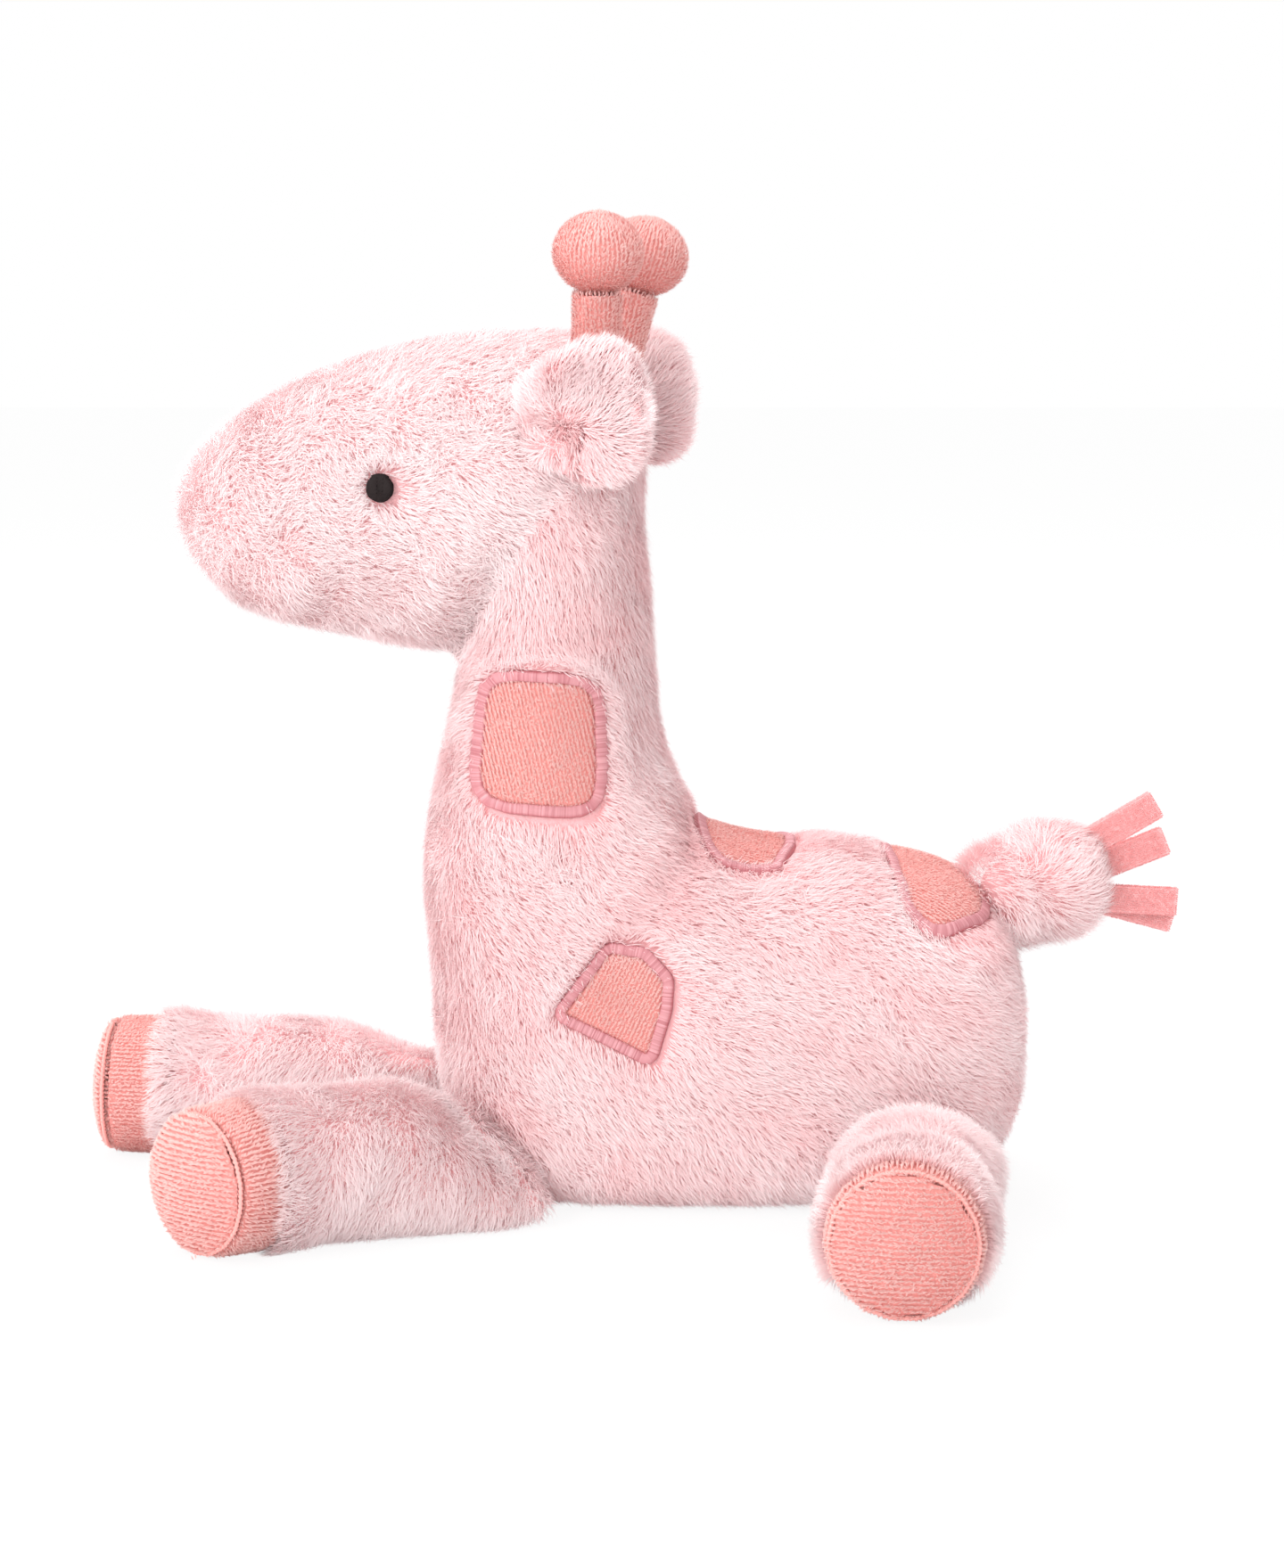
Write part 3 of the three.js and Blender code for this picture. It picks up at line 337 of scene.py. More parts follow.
class StageSizes(bpy.types.PropertyGroup):
    """Camera and light"""

    camera: FloatVectorProperty(
        name="Camera", description="Where the camera stands", default=(0.0045, -0.975, 0.263), unit="LENGTH"
    )
    dip: number("Dip", "How far the camera looks down", math.radians(8.707), subtype="ANGLE")
    lens: number("Lens", "Focal length in millimetres on a 36 mm sensor", 79.72)
    dome: number("Dome", "Brightness of the white room", 0.90)
    key: number("Key", "Power of the lamp over the left of the camera, in watts", 17.0)
    fill: number("Fill", "Power of the low lamp in front of the toy, in watts", 11.0)
    rim: number("Rim", "Power of the lamp over and behind the toy, in watts", 20.0)


def settings(name):
    return getattr(bpy.context.scene, "giraffe_" + name)


class Signal:
    """One output socket; arithmetic on it adds Math nodes."""

    def __init__(self, shader, socket):
        self.shader = shader
        self.socket = socket

    def math(self, operation, *others, swap=False):
        values = [*others, self] if swap else [self, *others]
        return self.shader.signal("ShaderNodeMath", {"operation": operation}, values)

    def __add__(self, other):
        return self.math("ADD", other)

    __radd__ = __add__

    def __sub__(self, other):
        return self.math("SUBTRACT", other)

    def __rsub__(self, other):
        return self.math("SUBTRACT", other, swap=True)

    def __mul__(self, other):
        return self.math("MULTIPLY", other)

    __rmul__ = __mul__

    def __truediv__(self, other):
        return self.math("DIVIDE", other)

    def __pow__(self, other):
        return self.math("POWER", other)


class Finish:
    """A material being made, or the world's background."""

    def __init__(self, name, world=False):
        kind = "ShaderNodeOutputWorld" if world else "ShaderNodeOutputMaterial"
        self.material = (bpy.data.worlds if world else bpy.data.materials).new(name)
        self.material.use_nodes = True
        self.tree = self.material.node_tree
        self.tree.nodes.clear()
        self.output = self.node(kind, {}, [])

    def node(self, kind, choices, values):
        node = self.tree.nodes.new(kind)
        for key, value in choices.items():
            setattr(node, key, value)
        pairs = values.items() if isinstance(values, dict) else enumerate(values)
        for key, value in pairs:
            if isinstance(value, Signal):
                self.tree.links.new(value.socket, node.inputs[key])
            else:
                node.inputs[key].default_value = value
        return node

    def signal(self, kind, choices, values, output=0):
        return Signal(self, self.node(kind, choices, values).outputs[output])

    def strand_map(self):
        """The colour map's U, which tints each strand or thread, and its V, along or across it."""
        place = self.signal("ShaderNodeUVMap", {"uv_map": "OFBake"}, [])
        return (self.signal("ShaderNodeSeparateXYZ", {}, [place], index) for index in (0, 1))

    def noise(self, scale, detail):
        place = self.signal("ShaderNodeTexCoord", {}, [], "Object")
        values = {"Scale": scale, "Detail": detail, "Vector": place}
        return self.signal("ShaderNodeTexNoise", {}, values, "Fac")

    def blend(self, factor, low, high):
        node = self.node("ShaderNodeMix", {"data_type": "RGBA"}, {"Factor": factor})
        for key, value in (("A", low), ("B", high)):
            socket = next(s for s in node.inputs if s.identifier == key + "_Color")
            if isinstance(value, Signal):
                self.tree.links.new(value.socket, socket)
            else:
                socket.default_value = (*value, 1.0)
        return Signal(self, next(s for s in node.outputs if s.identifier == "Result_Color"))

    def shown(self):
        """1 where a ray shows the background: straight from the camera, mirrored, or through glass."""
        path = self.node("ShaderNodeLightPath", {}, [])
        kinds = ("Camera", "Glossy", "Transmission")
        straight, mirrored, through = (Signal(self, path.outputs[f"Is {kind} Ray"]) for kind in kinds)
        return (straight + mirrored + through).math("MINIMUM", 1.0)

    def mixed(self, factor, first, second):
        """One shader that turns into another."""
        mix = self.node("ShaderNodeMixShader", {}, {"Fac": factor})
        self.tree.links.new(first.outputs[0], mix.inputs[1])
        self.tree.links.new(second.outputs[0], mix.inputs[2])
        return mix

    def closed(self, shader):
        self.tree.links.new(shader.outputs[0], self.output.inputs["Surface"])
        return self.material

    def surface(self, through=0.0, **values):
        """The finished material; through is the share of the light that passes from behind."""
        named = {key.replace("_", " "): value for key, value in values.items()}
        shader = self.node("ShaderNodeBsdfPrincipled", {}, named)
        if through:
            behind = self.node("ShaderNodeBsdfTranslucent", {}, {"Color": values["Base_Color"]})
            shader = self.mixed(through, shader, behind)
        return self.closed(shader)


def between(low, high, share):
    return tuple((1 - share) * a + share * b for a, b in zip(low, high))


def scaled(colour, level):
    return tuple(level * c for c in colour)


def strand_finish(name, root, tip, root_end, sheen):
    """Colour runs from root to tip along V, deeper at the root with painted shade and paler at the tip
    partly with painted sheen, and U tints each strand.
    """
    finish = Finish(name)
    tint, along = finish.strand_map()
    rise = (along / root_end).math("MINIMUM", 1.0) ** FIBRE_CURVE
    colour = finish.blend(tint * FIBRE_TINT, finish.blend(rise, root, tip), between(root, tip, DEEP_SHARE))
    sheen = {"Sheen_Weight": sheen, "Sheen_Tint": (*root, 1.0)}
    return finish.surface(through=FIBRE_THROUGH, Base_Color=colour, **FIBRE, **sheen)


def cloth_finish(name, colour, weave):
    """Woven or knitted backing, seen only between the strands."""
    finish = Finish(name)
    fine = finish.noise(weave, CLOTH_DETAIL)
    wide = finish.noise(BLOTCH_SCALE, BLOTCH_DETAIL)
    patchy = fine * CLOTH_SHARE + wide * (1 - CLOTH_SHARE)
    shade = finish.blend(patchy, scaled(colour, CLOTH_DARK), colour)
    bump = finish.signal("ShaderNodeBump", {}, {"Height": fine, "Distance": CLOTH_BUMP, "Strength": 1.0})
    return finish.surface(Base_Color=shade, Normal=bump, **CLOTH)


def thread_finish(name, dark, pale, roughness, specular):
    """Satin thread: U tints each thread, and V runs across the row of stitches, darker at its sides with
    painted shade.
    """
    finish = Finish(name)
    tint, across = finish.strand_map()
    side = (across - 0.5).math("ABSOLUTE") * 2.0
    shade = finish.blend(tint * (1.0 - side**3 * THREAD_SIDE_SHADE), dark, pale)
    return finish.surface(Base_Color=shade, Roughness=roughness, Specular_IOR_Level=specular)


def paint(piece, material):
    piece.data.materials.clear()
    piece.data.materials.append(material)


def placed(name, mesh):
    piece = bpy.data.objects.new(name, mesh)
    bpy.context.collection.objects.link(piece)
    return piece


def choose(*pieces):
    bpy.ops.object.select_all(action="DESELECT")
    for piece in pieces:
        piece.select_set(True)
    bpy.context.view_layer.objects.active = pieces[0]


def finished_with(piece, kind, **values):
    modifier = piece.modifiers.new(kind.title(), kind)
    for key, value in values.items():
        setattr(modifier, key, value)
    choose(piece)
    bpy.ops.object.modifier_apply(modifier=modifier.name)


def keep_largest(piece):
    """Drops the small bubbles that remeshing leaves where two solids nearly touch."""
    bm = bmesh.new()
    bm.from_mesh(piece.data)
    unseen = set(bm.verts)
    islands = []
    while unseen:
        edge = [unseen.pop()]
        island = []
        while edge:
            vert = edge.pop()
            island.append(vert)
            for link in vert.link_edges:
                other = link.other_vert(vert)
                if other in unseen:
                    unseen.discard(other)
                    edge.append(other)
        islands.append(island)
    islands.sort(key=len)
    bmesh.ops.delete(bm, geom=[v for island in islands[:-1] for v in island], context="VERTS")
    bm.to_mesh(piece.data)
    bm.free()


def form_of(name, nodes, voxel, steps, inset, meets=None):
    """One smooth form round several solids, drawn in by the depth of its pile."""
    copies = [placed(node, NODES[node].data.copy()) for node in nodes]
    choose(*copies)
    if len(copies) > 1:
        bpy.ops.object.join()
    form = copies[0]
    form.name = form.data.name = name
    finished_with(form, "REMESH", mode="VOXEL", voxel_size=voxel)
    keep_largest(form)
    outside = piece_tree(form)
    finished_with(form, "SMOOTH", factor=SMOOTHING, iterations=steps)
    insets = np.minimum(inset, MOST_DRAWN_SHARE * thickness(form, outside))
    if meets:
        insets *= np.clip(distances(positions(form), solid_tree(meets)) / JOIN_REACH, JOIN_SHARE, 1)
    for _ in range(DRAWING_ROUNDS):
        draw_in(form, outside, insets)
        finished_with(form, "SMOOTH", factor=SMOOTHING, iterations=DRAWING_STEPS)
    bpy.ops.object.shade_smooth()
    return form


def thickness(form, outside):
    """How far it is through the form, straight in from each point."""
    through = []
    for point, normal in zip(positions(form).tolist(), vertex_normals(form).tolist()):
        inwards = -Vector(normal)
        far = outside.ray_cast(Vector(point) + inwards * NEAR, inwards)[3]
        through.append(NEAR + (far or 0.0))
    return np.array(through)


def draw_in(form, outside, insets):
    """Moves each point along its normal until it lies this far inside the solids."""
    points, normals = positions(form), vertex_normals(form)
    shift = np.empty(len(points))
    for i, point in enumerate(points.tolist()):
        place, normal, _, _ = outside.find_nearest(point)
        gap = Vector(point) - place
        shift[i] = -math.copysign(gap.length, gap.dot(normal))
    move_to(form, points + normals * np.clip(shift - insets, -insets, insets)[:, None])


def part_of(whole, name, chosen):
    """The part of a form whose faces are chosen by their middles, closed where it was cut."""
    piece = placed(name, whole.data.copy())
    piece.data.name = name
    bm = bmesh.new()
    bm.from_mesh(piece.data)
    kept = chosen(np.array([face.calc_center_median() for face in bm.faces]))
    dropped = [face for face, keep in zip(bm.faces, kept) if not keep]
    bmesh.ops.delete(bm, geom=dropped, context="FACES")
    caps = bmesh.ops.holes_fill(bm, edges=[edge for edge in bm.edges if edge.is_boundary])["faces"]
    bmesh.ops.triangulate(bm, faces=caps)
    bm.to_mesh(piece.data)
    bm.free()
    keep_largest(piece)
    return piece


def trimmed(points, node):
    """The points of a solid, those of a spot that crosses the back no further out than it reaches."""
    reach = SPOT_REACH.get(node.removesuffix("_stitching"))
    if reach is not None:
        reach += settings("thread").band * node.endswith("_stitching")
        points[:, 1] = np.clip(points[:, 1], -reach, reach)
    return points


def solid_tree(*nodes):
    bm = bmesh.new()
    for node in nodes:
        first = len(bm.verts)
        bm.from_mesh(NODES[node].data)
        bm.verts.ensure_lookup_table()
        for vert, point in zip(bm.verts[first:], trimmed(positions(NODES[node]), node).tolist()):
            vert.co = point
    tree = BVHTree.FromBMesh(bm)
    bm.free()
    return tree


def piece_tree(piece):
    bm = bmesh.new()
    bm.from_mesh(piece.data)
    tree = BVHTree.FromBMesh(bm)
    bm.free()
    return tree


def distances(points, tree, reach=FAR):
    found = (tree.find_nearest(point, reach)[3] for point in points.tolist())
    return np.array([reach if d is None else d for d in found])


def beneath(points, normals, tree):
    """Which points lie under the solids of a tree."""
    rays = zip(points.tolist(), normals.tolist())
    return np.array([tree.ray_cast(point, normal, TRIM_DEPTH)[0] is not None for point, normal in rays])


def leaning_away(points, tree, reach):
    """Directions away from the nearest point of a tree, fading to nothing at the reach."""
    away = np.zeros_like(points)
    for i, point in enumerate(points.tolist()):
        place, _, _, gap = tree.find_nearest(point, reach)
        if place is not None and gap > 0:
            away[i] = (Vector(point) - place) / gap * (1 - gap / reach)
    return away


def unit(vectors):
    return vectors / np.maximum(np.linalg.norm(vectors, axis=-1, keepdims=True), NO_LENGTH)


def dot(a, b):
    return np.sum(a * b, axis=-1, keepdims=True)


def ripple(points, size, seed):
    """Smooth noise, mostly from -1 to 1, whose bumps are about the given size."""
    rng = np.random.default_rng(seed)
    waves = rng.normal(size=(WAVES, 3)) * WAVE_RATE / size
    return np.sin(points @ waves.T + rng.random(WAVES) * 2 * math.pi).sum(axis=1) / WAVE_LEVEL


def fold_depth(points, line, width):
    """1 on the line of a fold, fading to nothing at a few widths."""
    ends = np.array(line)
    nearest = np.full(len(points), 1.0)
    for a, b in zip(ends[:-1], ends[1:]):
        along = np.clip((points - a) @ (b - a) / ((b - a) @ (b - a)), 0, 1)
        nearest = np.minimum(nearest, np.linalg.norm(points - a - along[:, None] * (b - a), axis=1))
    return np.exp(-((nearest / width) ** 2))


def read(piece, key):
    values = np.empty(len(piece.data.vertices) * 3)
    piece.data.vertices.foreach_get(key, values)
    return values.reshape(-1, 3)


def positions(piece):
    return read(piece, "co")


def vertex_normals(piece):
    return read(piece, "normal")


def move_to(piece, points):
    piece.data.vertices.foreach_set("co", points.ravel())
    piece.data.update()


def press_folds(piece, folds):
    """Presses folds into the cloth, each with a soft swell, waves it a little and keeps it off the floor."""
    points, normals = positions(piece), vertex_normals(piece)
    shift = np.zeros(len(points))
    for line, depth, width in folds:
        swell = SWELL_SHARE * fold_depth(points, line, SWELL_WIDTH_SHARE * width)
        shift += depth * (swell - (1 + SWELL_SHARE) * fold_depth(points, line, width))
    shift += CLOTH_WAVE * ripple(points, CLOTH_WAVE_SIZE, CLOTH_WAVE_SEED)
    points = points + normals * shift[:, None]
    points[:, 2] = np.maximum(points[:, 2], CLOTH_OFF_FLOOR)
    move_to(piece, points)


def scatter(piece, density, seed, covered):
    """Points spread evenly over the covered part of a piece, with the surface's smooth normals there."""
    rng = np.random.default_rng(seed)
    mesh = piece.data
    mesh.calc_loop_triangles()
    corners = np.empty(len(mesh.loop_triangles) * 3, dtype=np.int64)
    mesh.loop_triangles.foreach_get("vertices", corners)
    corners = corners.reshape(-1, 3)
    places = positions(piece)[corners]
    normals = vertex_normals(piece)[corners]
    area = np.linalg.norm(np.cross(places[:, 1] - places[:, 0], places[:, 2] - places[:, 0]), axis=1) / 2
    count = int(area.sum() * density * SQUARE_MILLIMETRES)
    ladder = np.cumsum(area)
    chosen = np.searchsorted(ladder, (np.arange(count) + rng.random(count)) / count * ladder[-1])
    chosen = np.minimum(chosen, len(area) - 1)
    share = rng.random((count, 2))
    share = np.where(share.sum(axis=1, keepdims=True) > 1, 1 - share, share)
    weights = np.column_stack((1 - share.sum(axis=1), share))[:, :, None]
    points = (places[chosen] * weights).sum(axis=1)
    normals = unit((normals[chosen] * weights).sum(axis=1))
    kept = covered(points, normals) if covered else slice(None)
    return points[kept], normals[kept]


def strands(name, roots, elbows, tips, normals, width, tint):
    """Flat strands, each bent at its elbow, where it is widest, and pointed at both ends."""
    count = len(roots)
    across = unit(np.cross(tips - roots, normals)) * width[:, None] / 2
    corners = np.stack((roots, elbows - across, elbows + across, tips), axis=1)
    corners[:, :, 2] = np.maximum(corners[:, :, 2], PILE_OFF_FLOOR)
    mesh = bpy.data.meshes.new(name)
    mesh.vertices.add(count * 4)
    mesh.vertices.foreach_set("co", corners.ravel())
    first = np.arange(count)[:, None]
    mesh.loops.add(count * 6)
    mesh.loops.foreach_set("vertex_index", (first * 4 + np.array([0, 2, 1, 1, 2, 3])).ravel())
    mesh.polygons.add(count * 2)
    mesh.polygons.foreach_set("loop_start", (first * 6 + np.array([0, 3])).ravel())
    mesh.update(calc_edges=True)
    layer = mesh.uv_layers.new(name="OFBake")
    u = np.clip(tint, MAP_EDGE, 1 - MAP_EDGE)[:, None] + np.array([0, 1, -1, -1, 1, 0]) * MAP_STEP
    v = np.broadcast_to(np.array([MAP_ENDS, 0.5, 0.5, 0.5, 0.5, 1 - MAP_ENDS]), u.shape)
    layer.data.foreach_set("uv", np.stack((u, v), axis=2).ravel())
    mesh.polygons.foreach_set("use_smooth", np.ones(count * 2, dtype=bool))
    return placed(name, mesh)


def comb(points, normals, flow, length, lift, clump, seed, wander, tint=0.0):
    """Strands that rise from the cloth and lean along the flow, gathered a little in clumps."""
    rng = np.random.default_rng(seed)
    count = len(points)
    drift = np.stack([ripple(points, PATCH, seed + k) for k in (1, 2, 3)], axis=1)
    jitter = rng.normal(size=(count, 3))
    along = flow + wander * drift + LEAN_JITTER * jitter
    along = unit(along - dot(along, normals) * normals)
    size = (length * (SHORTEST + LENGTH_RANGE * rng.random(count)))[:, None]
    rise = (lift + STAND_JITTER * rng.normal(size=count))[:, None]
    elbows = points + size * 0.5 * (along * np.cos(rise + ROOT_BEND) + normals * np.sin(rise + ROOT_BEND))
    tips = elbows + size * 0.5 * (along * np.cos(rise - TIP_BEND) + normals * np.sin(rise - TIP_BEND))
    if clump:
        frayed = points + CLUMP_FRAY * clump * rng.normal(size=(count, 3))
        cells = np.floor(frayed / clump).astype(np.int64)
        key = cells @ np.array(CELL_STEPS)
        _, group, members = np.unique(key, return_inverse=True, return_counts=True)
        centre = np.stack([np.bincount(group, tips[:, k]) / members for k in range(3)], axis=1)[group]
        tips = tips + CLUMP_PULL * (centre - tips) * rng.random((count, 1)) ** 0.5
    shade = TINT + TINT_JITTER * rng.normal(size=count) + TINT_PATCHES * ripple(points, PATCH, seed + 9)
    return elbows, tips, shade + tint


def cover(
    name, base, flow, body, material, seed, covered=None, folds=(), shy=None, raised=None,
    length=None, lift=PILE_STAND, wander=PILE_WANDER, density=None, pale=0.0,
):
    """Grows pile all over a piece of backing cloth, in as many pieces as it takes."""
    plush = settings("plush")
    points, normals = scatter(base, density or plush.density, seed, covered)
    # Painted shade, deeper on the undersides and deepest on the belly
    under = np.clip(-normals[:, 2] - BELLY_SHADE_SLOPE, 0, 1)
    # pale takes the tint towards the tips' colour: painted light on the head and legs, where more light
    # falls
    tint = BELLY_PAINTED_SHADE * under + UNDERSIDE_PAINTED_SHADE * np.clip(-normals[:, 2], 0, 1) - pale
    # Painted shade along each fold
    for line, _, width in folds:
        tint = tint + FOLD_PAINTED_SHADE * fold_depth(points, line, width * FOLD_SHADE_WIDTH_SHARE)
    lie, size = flow(points, normals), length or plush.length
    if shy is not None:
        away = leaning_away(points, shy, TRIM_REACH)
        lie = lie + TRIM_LEAN * away
        size = size * (1 - TRIM_SHORTENING * np.linalg.norm(away, axis=1))
    if raised is not None:
        points = points + normals * raised(points, normals)[:, None]
    elbows, tips, shade = comb(points, normals, lie, size, lift, plush.clump, seed, wander, tint)
    rng = np.random.default_rng(seed + STRAND_SEED_STEP)
    width = plush.width * (NARROWEST + WIDTH_RANGE * rng.random(len(points)))
    grown = (points, elbows, tips, normals, width, shade)
    parts = math.ceil(len(points) / MOST_STRANDS)
    order = np.argsort(points[:, 0], kind="stable")
    for part, chosen in enumerate(np.array_split(order, parts)):
        label = name if parts == 1 else f"{name}_{part + 1}"
        piece = strands(label, *(values[chosen] for values in grown))
        paint(piece, material)
        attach(piece, body)


def velour(name, base, rows, body, seed, kind="velour", covered=None, fine=1.0, lean=1.0):
    """Short loops in knitted rows; rows(points) gives the row coordinate and its gradient."""
    sizes = settings("velour")
    points, normals = scatter(base, sizes.density / fine**2, seed, covered)
    rng = np.random.default_rng(seed + LOOP_SEED_STEP)
    place, slope = rows(points)
    slope = slope - dot(slope, normals) * normals
    steep = np.maximum(dot(slope, slope), LEAST_SLOPE)
    pitch = sizes.pitch * fine
    row = place / pitch + ROW_WAVER * ripple(points, ROW_WAVER_SIZE, seed + 3)
    aside = (np.round(row) - row + ROW_JITTER * rng.normal(size=len(row))) * pitch
    points = points + slope / steep * aside[:, None]
    flow = unit(np.cross(normals, slope)) * LOOP_ALONG * lean + unit(slope) * LOOP_ACROSS
    loop = sizes.length * fine
    elbows, tips, shade = comb(points, normals, flow, loop, LOOP_STAND, 0.0, seed, LOOP_WANDER)
    width = sizes.width * fine * (NARROWEST_LOOP + LOOP_RANGE * rng.random(len(points)))
    piece = strands(name, points, elbows, tips, normals, width, shade)
    paint(piece, STRANDS[kind])
    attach(piece, body)


def straight_rows(direction):
    direction = np.array(direction) / np.linalg.norm(direction)
    return lambda points: (points @ direction, np.broadcast_to(direction, points.shape))


def turned_rows(centre, axis, radius):
    """Rows that run along an axis, spaced evenly round it."""
    axis = unit(np.array(axis, dtype=float))
    side = unit(np.cross(axis, ROWS_START))
    other = np.cross(axis, side)

    def rows(points):
        arm = points - np.array(centre)
        a, b = arm @ side, arm @ other
        around = unit(np.cross(axis, arm))
        return np.arctan2(b, a) * radius, around * radius / np.maximum(np.hypot(a, b), NEAR)[:, None]

    return rows


def corners_of(node):
    return (np.array(corner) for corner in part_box(node))


def middle(node):
    low, high = corners_of(node)
    return (low + high) / 2


def leg_axis(leg):
    return unit(middle(leg + "_hoof_sole") - middle(leg + "_hoof_cuff"))


def neck_and_back(points, normals):
    """The pile runs down the neck and back along the flanks."""
    high = np.clip((points[:, 2] - SHOULDER_HEIGHT) / SHOULDER_BLEND, 0, 1)
    forward = np.clip((WITHERS - points[:, 0]) / WITHERS_BLEND, 0, 1)
    return FLANK_LIE + (high * forward)[:, None] * (NECK_LIE - FLANK_LIE)


def muzzle_to_crown(points, normals):
    low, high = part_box("head_skin")
    back = (points[:, 0] - low[0]) / (high[0] - low[0])
    parted = np.tanh(points[:, 1] / HEAD_PART_WIDTH) * HEAD_PART * (1 - back)
    return np.stack((HEAD_BACK + 0 * back, parted, HEAD_DOWN * back), axis=1)


def smoothed(ring, rounds):
    """A closed ring of points with its kinks taken out."""
    for _ in range(rounds):
        ring = (np.roll(ring, 1, axis=0) + ring * 2 + np.roll(ring, -1, axis=0)) / 4
    return ring


def spot_border(spot, pitch):
    """The spot's convex outline as evenly spaced points in its own plane, and that plane."""
    out = np.array(SPOTS[spot][0])
    across = unit(np.cross(RIGHTWARDS if abs(out[1]) < 0.5 else UPWARDS, out))
    up = np.cross(out, across)
    flat = trimmed(positions(NODES[spot]), spot) @ np.stack((across, up), axis=1)
    hull = geometry.convex_hull_2d([Vector(p) for p in flat])
    corners = flat[hull]
    if np.cross(corners[1] - corners[0], corners[2] - corners[1]) < 0:
        corners = corners[::-1]
    steps = np.linalg.norm(np.roll(corners, -1, axis=0) - corners, axis=1)
    ladder = np.concatenate(([0.0], np.cumsum(steps)))
    count = int(ladder[-1] / pitch / 2) * 2
    closed = np.vstack((corners, corners[:1]))
    where = np.arange(count) / count * ladder[-1]
    border = np.stack([np.interp(where, ladder, closed[:, k]) for k in (0, 1)], axis=1)
    return smoothed(border, BORDER_ROUNDS), across, up, out


def onto(cloth, flat, across, up, out):
    """Drops flat points straight onto the cloth: where they land, and the cloth's normals there."""
    start = flat @ np.stack((across, up)) + out * DROP
    places, normals = [], []
    for point in start:
        place, normal, _, _ = cloth.ray_cast(Vector(point), Vector(-out))
        if place is None:
            place, normal, _, _ = cloth.find_nearest(Vector(point - out * DROP_BACK))
        places.append(place)
        normals.append(normal)
    return np.array(places), np.array(normals)


def grid_piece(name, rings, capped, tints):
    """A surface through rings of points, closed with a fan inside the first; tints go to U."""
    around, deep = len(rings[0]), len(rings)
    points = np.vstack(rings)
    ring, turn = (grid.ravel() for grid in np.mgrid[0 : deep - 1, 0:around])
    here, after = ring * around + turn, ring * around + (turn + 1) % around
    faces = np.stack((here, after, after + around, here + around), axis=1).tolist()
    u = np.repeat(tints[turn], 4) + np.tile([-MAP_STEP, MAP_STEP, MAP_STEP, -MAP_STEP], len(turn))
    v = np.repeat(ring, 4) + np.tile([0, 0, 1, 1], len(turn))
    places = np.stack((u, v / (deep - 1)), axis=1)
    if capped:
        points = np.vstack((points, points[:around].mean(axis=0)))
        faces += [(len(points) - 1, (k + 1) % around, k) for k in range(around)]
        low, high = 0.5 - MAP_EDGE, 0.5 + MAP_EDGE
        fan = np.tile([[low, low], [high, low], [0.5, high]], (around, 1))
        places = np.vstack((places, fan))
    mesh = bpy.data.meshes.new(name)
    mesh.from_pydata(points.tolist(), [], faces)
    mesh.uv_layers.new(name="OFBake").data.foreach_set("uv", places.ravel())
    piece = placed(name, mesh)
    choose(piece)
    bpy.ops.object.mode_set(mode="EDIT")
    bpy.ops.mesh.select_all(action="SELECT")
    bpy.ops.mesh.normals_make_consistent(inside=False)
    bpy.ops.object.mode_set(mode="OBJECT")
    bpy.ops.object.shade_smooth()
    return piece


def sewn(cloth, kind, body, fill, *nodes):
    """Backing cloth in place of its solids; fill is not used."""
    paint(cloth, CLOTHS[kind])
    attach(cloth, body)
    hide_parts(*nodes)


class GIRAFFE_OT_stage(bpy.types.Operator):
    """Sets the camera, the white floor and the soft studio light"""

    bl_idname = "giraffe.stage"
    bl_label = "Studio"

    def execute(self, context):
        stage = settings("stage")
        bpy.ops.object.camera_add(location=stage.camera, rotation=(math.pi / 2 - stage.dip, 0, 0))
        camera = context.object
        camera.data.lens = stage.lens
        camera.data.sensor_width = SENSOR_WIDTH
        camera.data.clip_start = NEAREST_SEEN
        context.scene.camera = camera
        context.scene.view_settings.view_transform = "Standard"

        bpy.ops.mesh.primitive_plane_add(size=FLOOR_SIZE, location=FLOOR_PLACE)
        floor = context.object
        floor.name = "studio_floor"
        finish = Finish("white_sweep")
        paper = finish.node("ShaderNodeBsdfDiffuse", {}, {"Color": PAPER})
        glow = finish.node("ShaderNodeEmission", {}, {"Color": WHITE, "Strength": 1.0})
        sweep = finish.mixed(finish.shown() * FLOOR_GLOW, paper, glow)
        floor.data.materials.append(finish.closed(sweep))

        room = Finish("white_room", world=True)
        level = stage.dome + (1.0 - stage.dome) * room.shown()
        sky = room.node("ShaderNodeBackground", {}, {"Color": WHITE, "Strength": level})
        context.scene.world = room.closed(sky)

        for name, (place, aim, size) in LAMPS.items():
            bpy.ops.object.light_add(type="AREA", location=place)
            lamp = context.object
            lamp.name = name
            lamp.data.size = size
            lamp.data.energy = getattr(stage, name)
            lamp.rotation_euler = (Vector(aim) - Vector(place)).to_track_quat("-Z", "Y").to_euler()
        return {"FINISHED"}


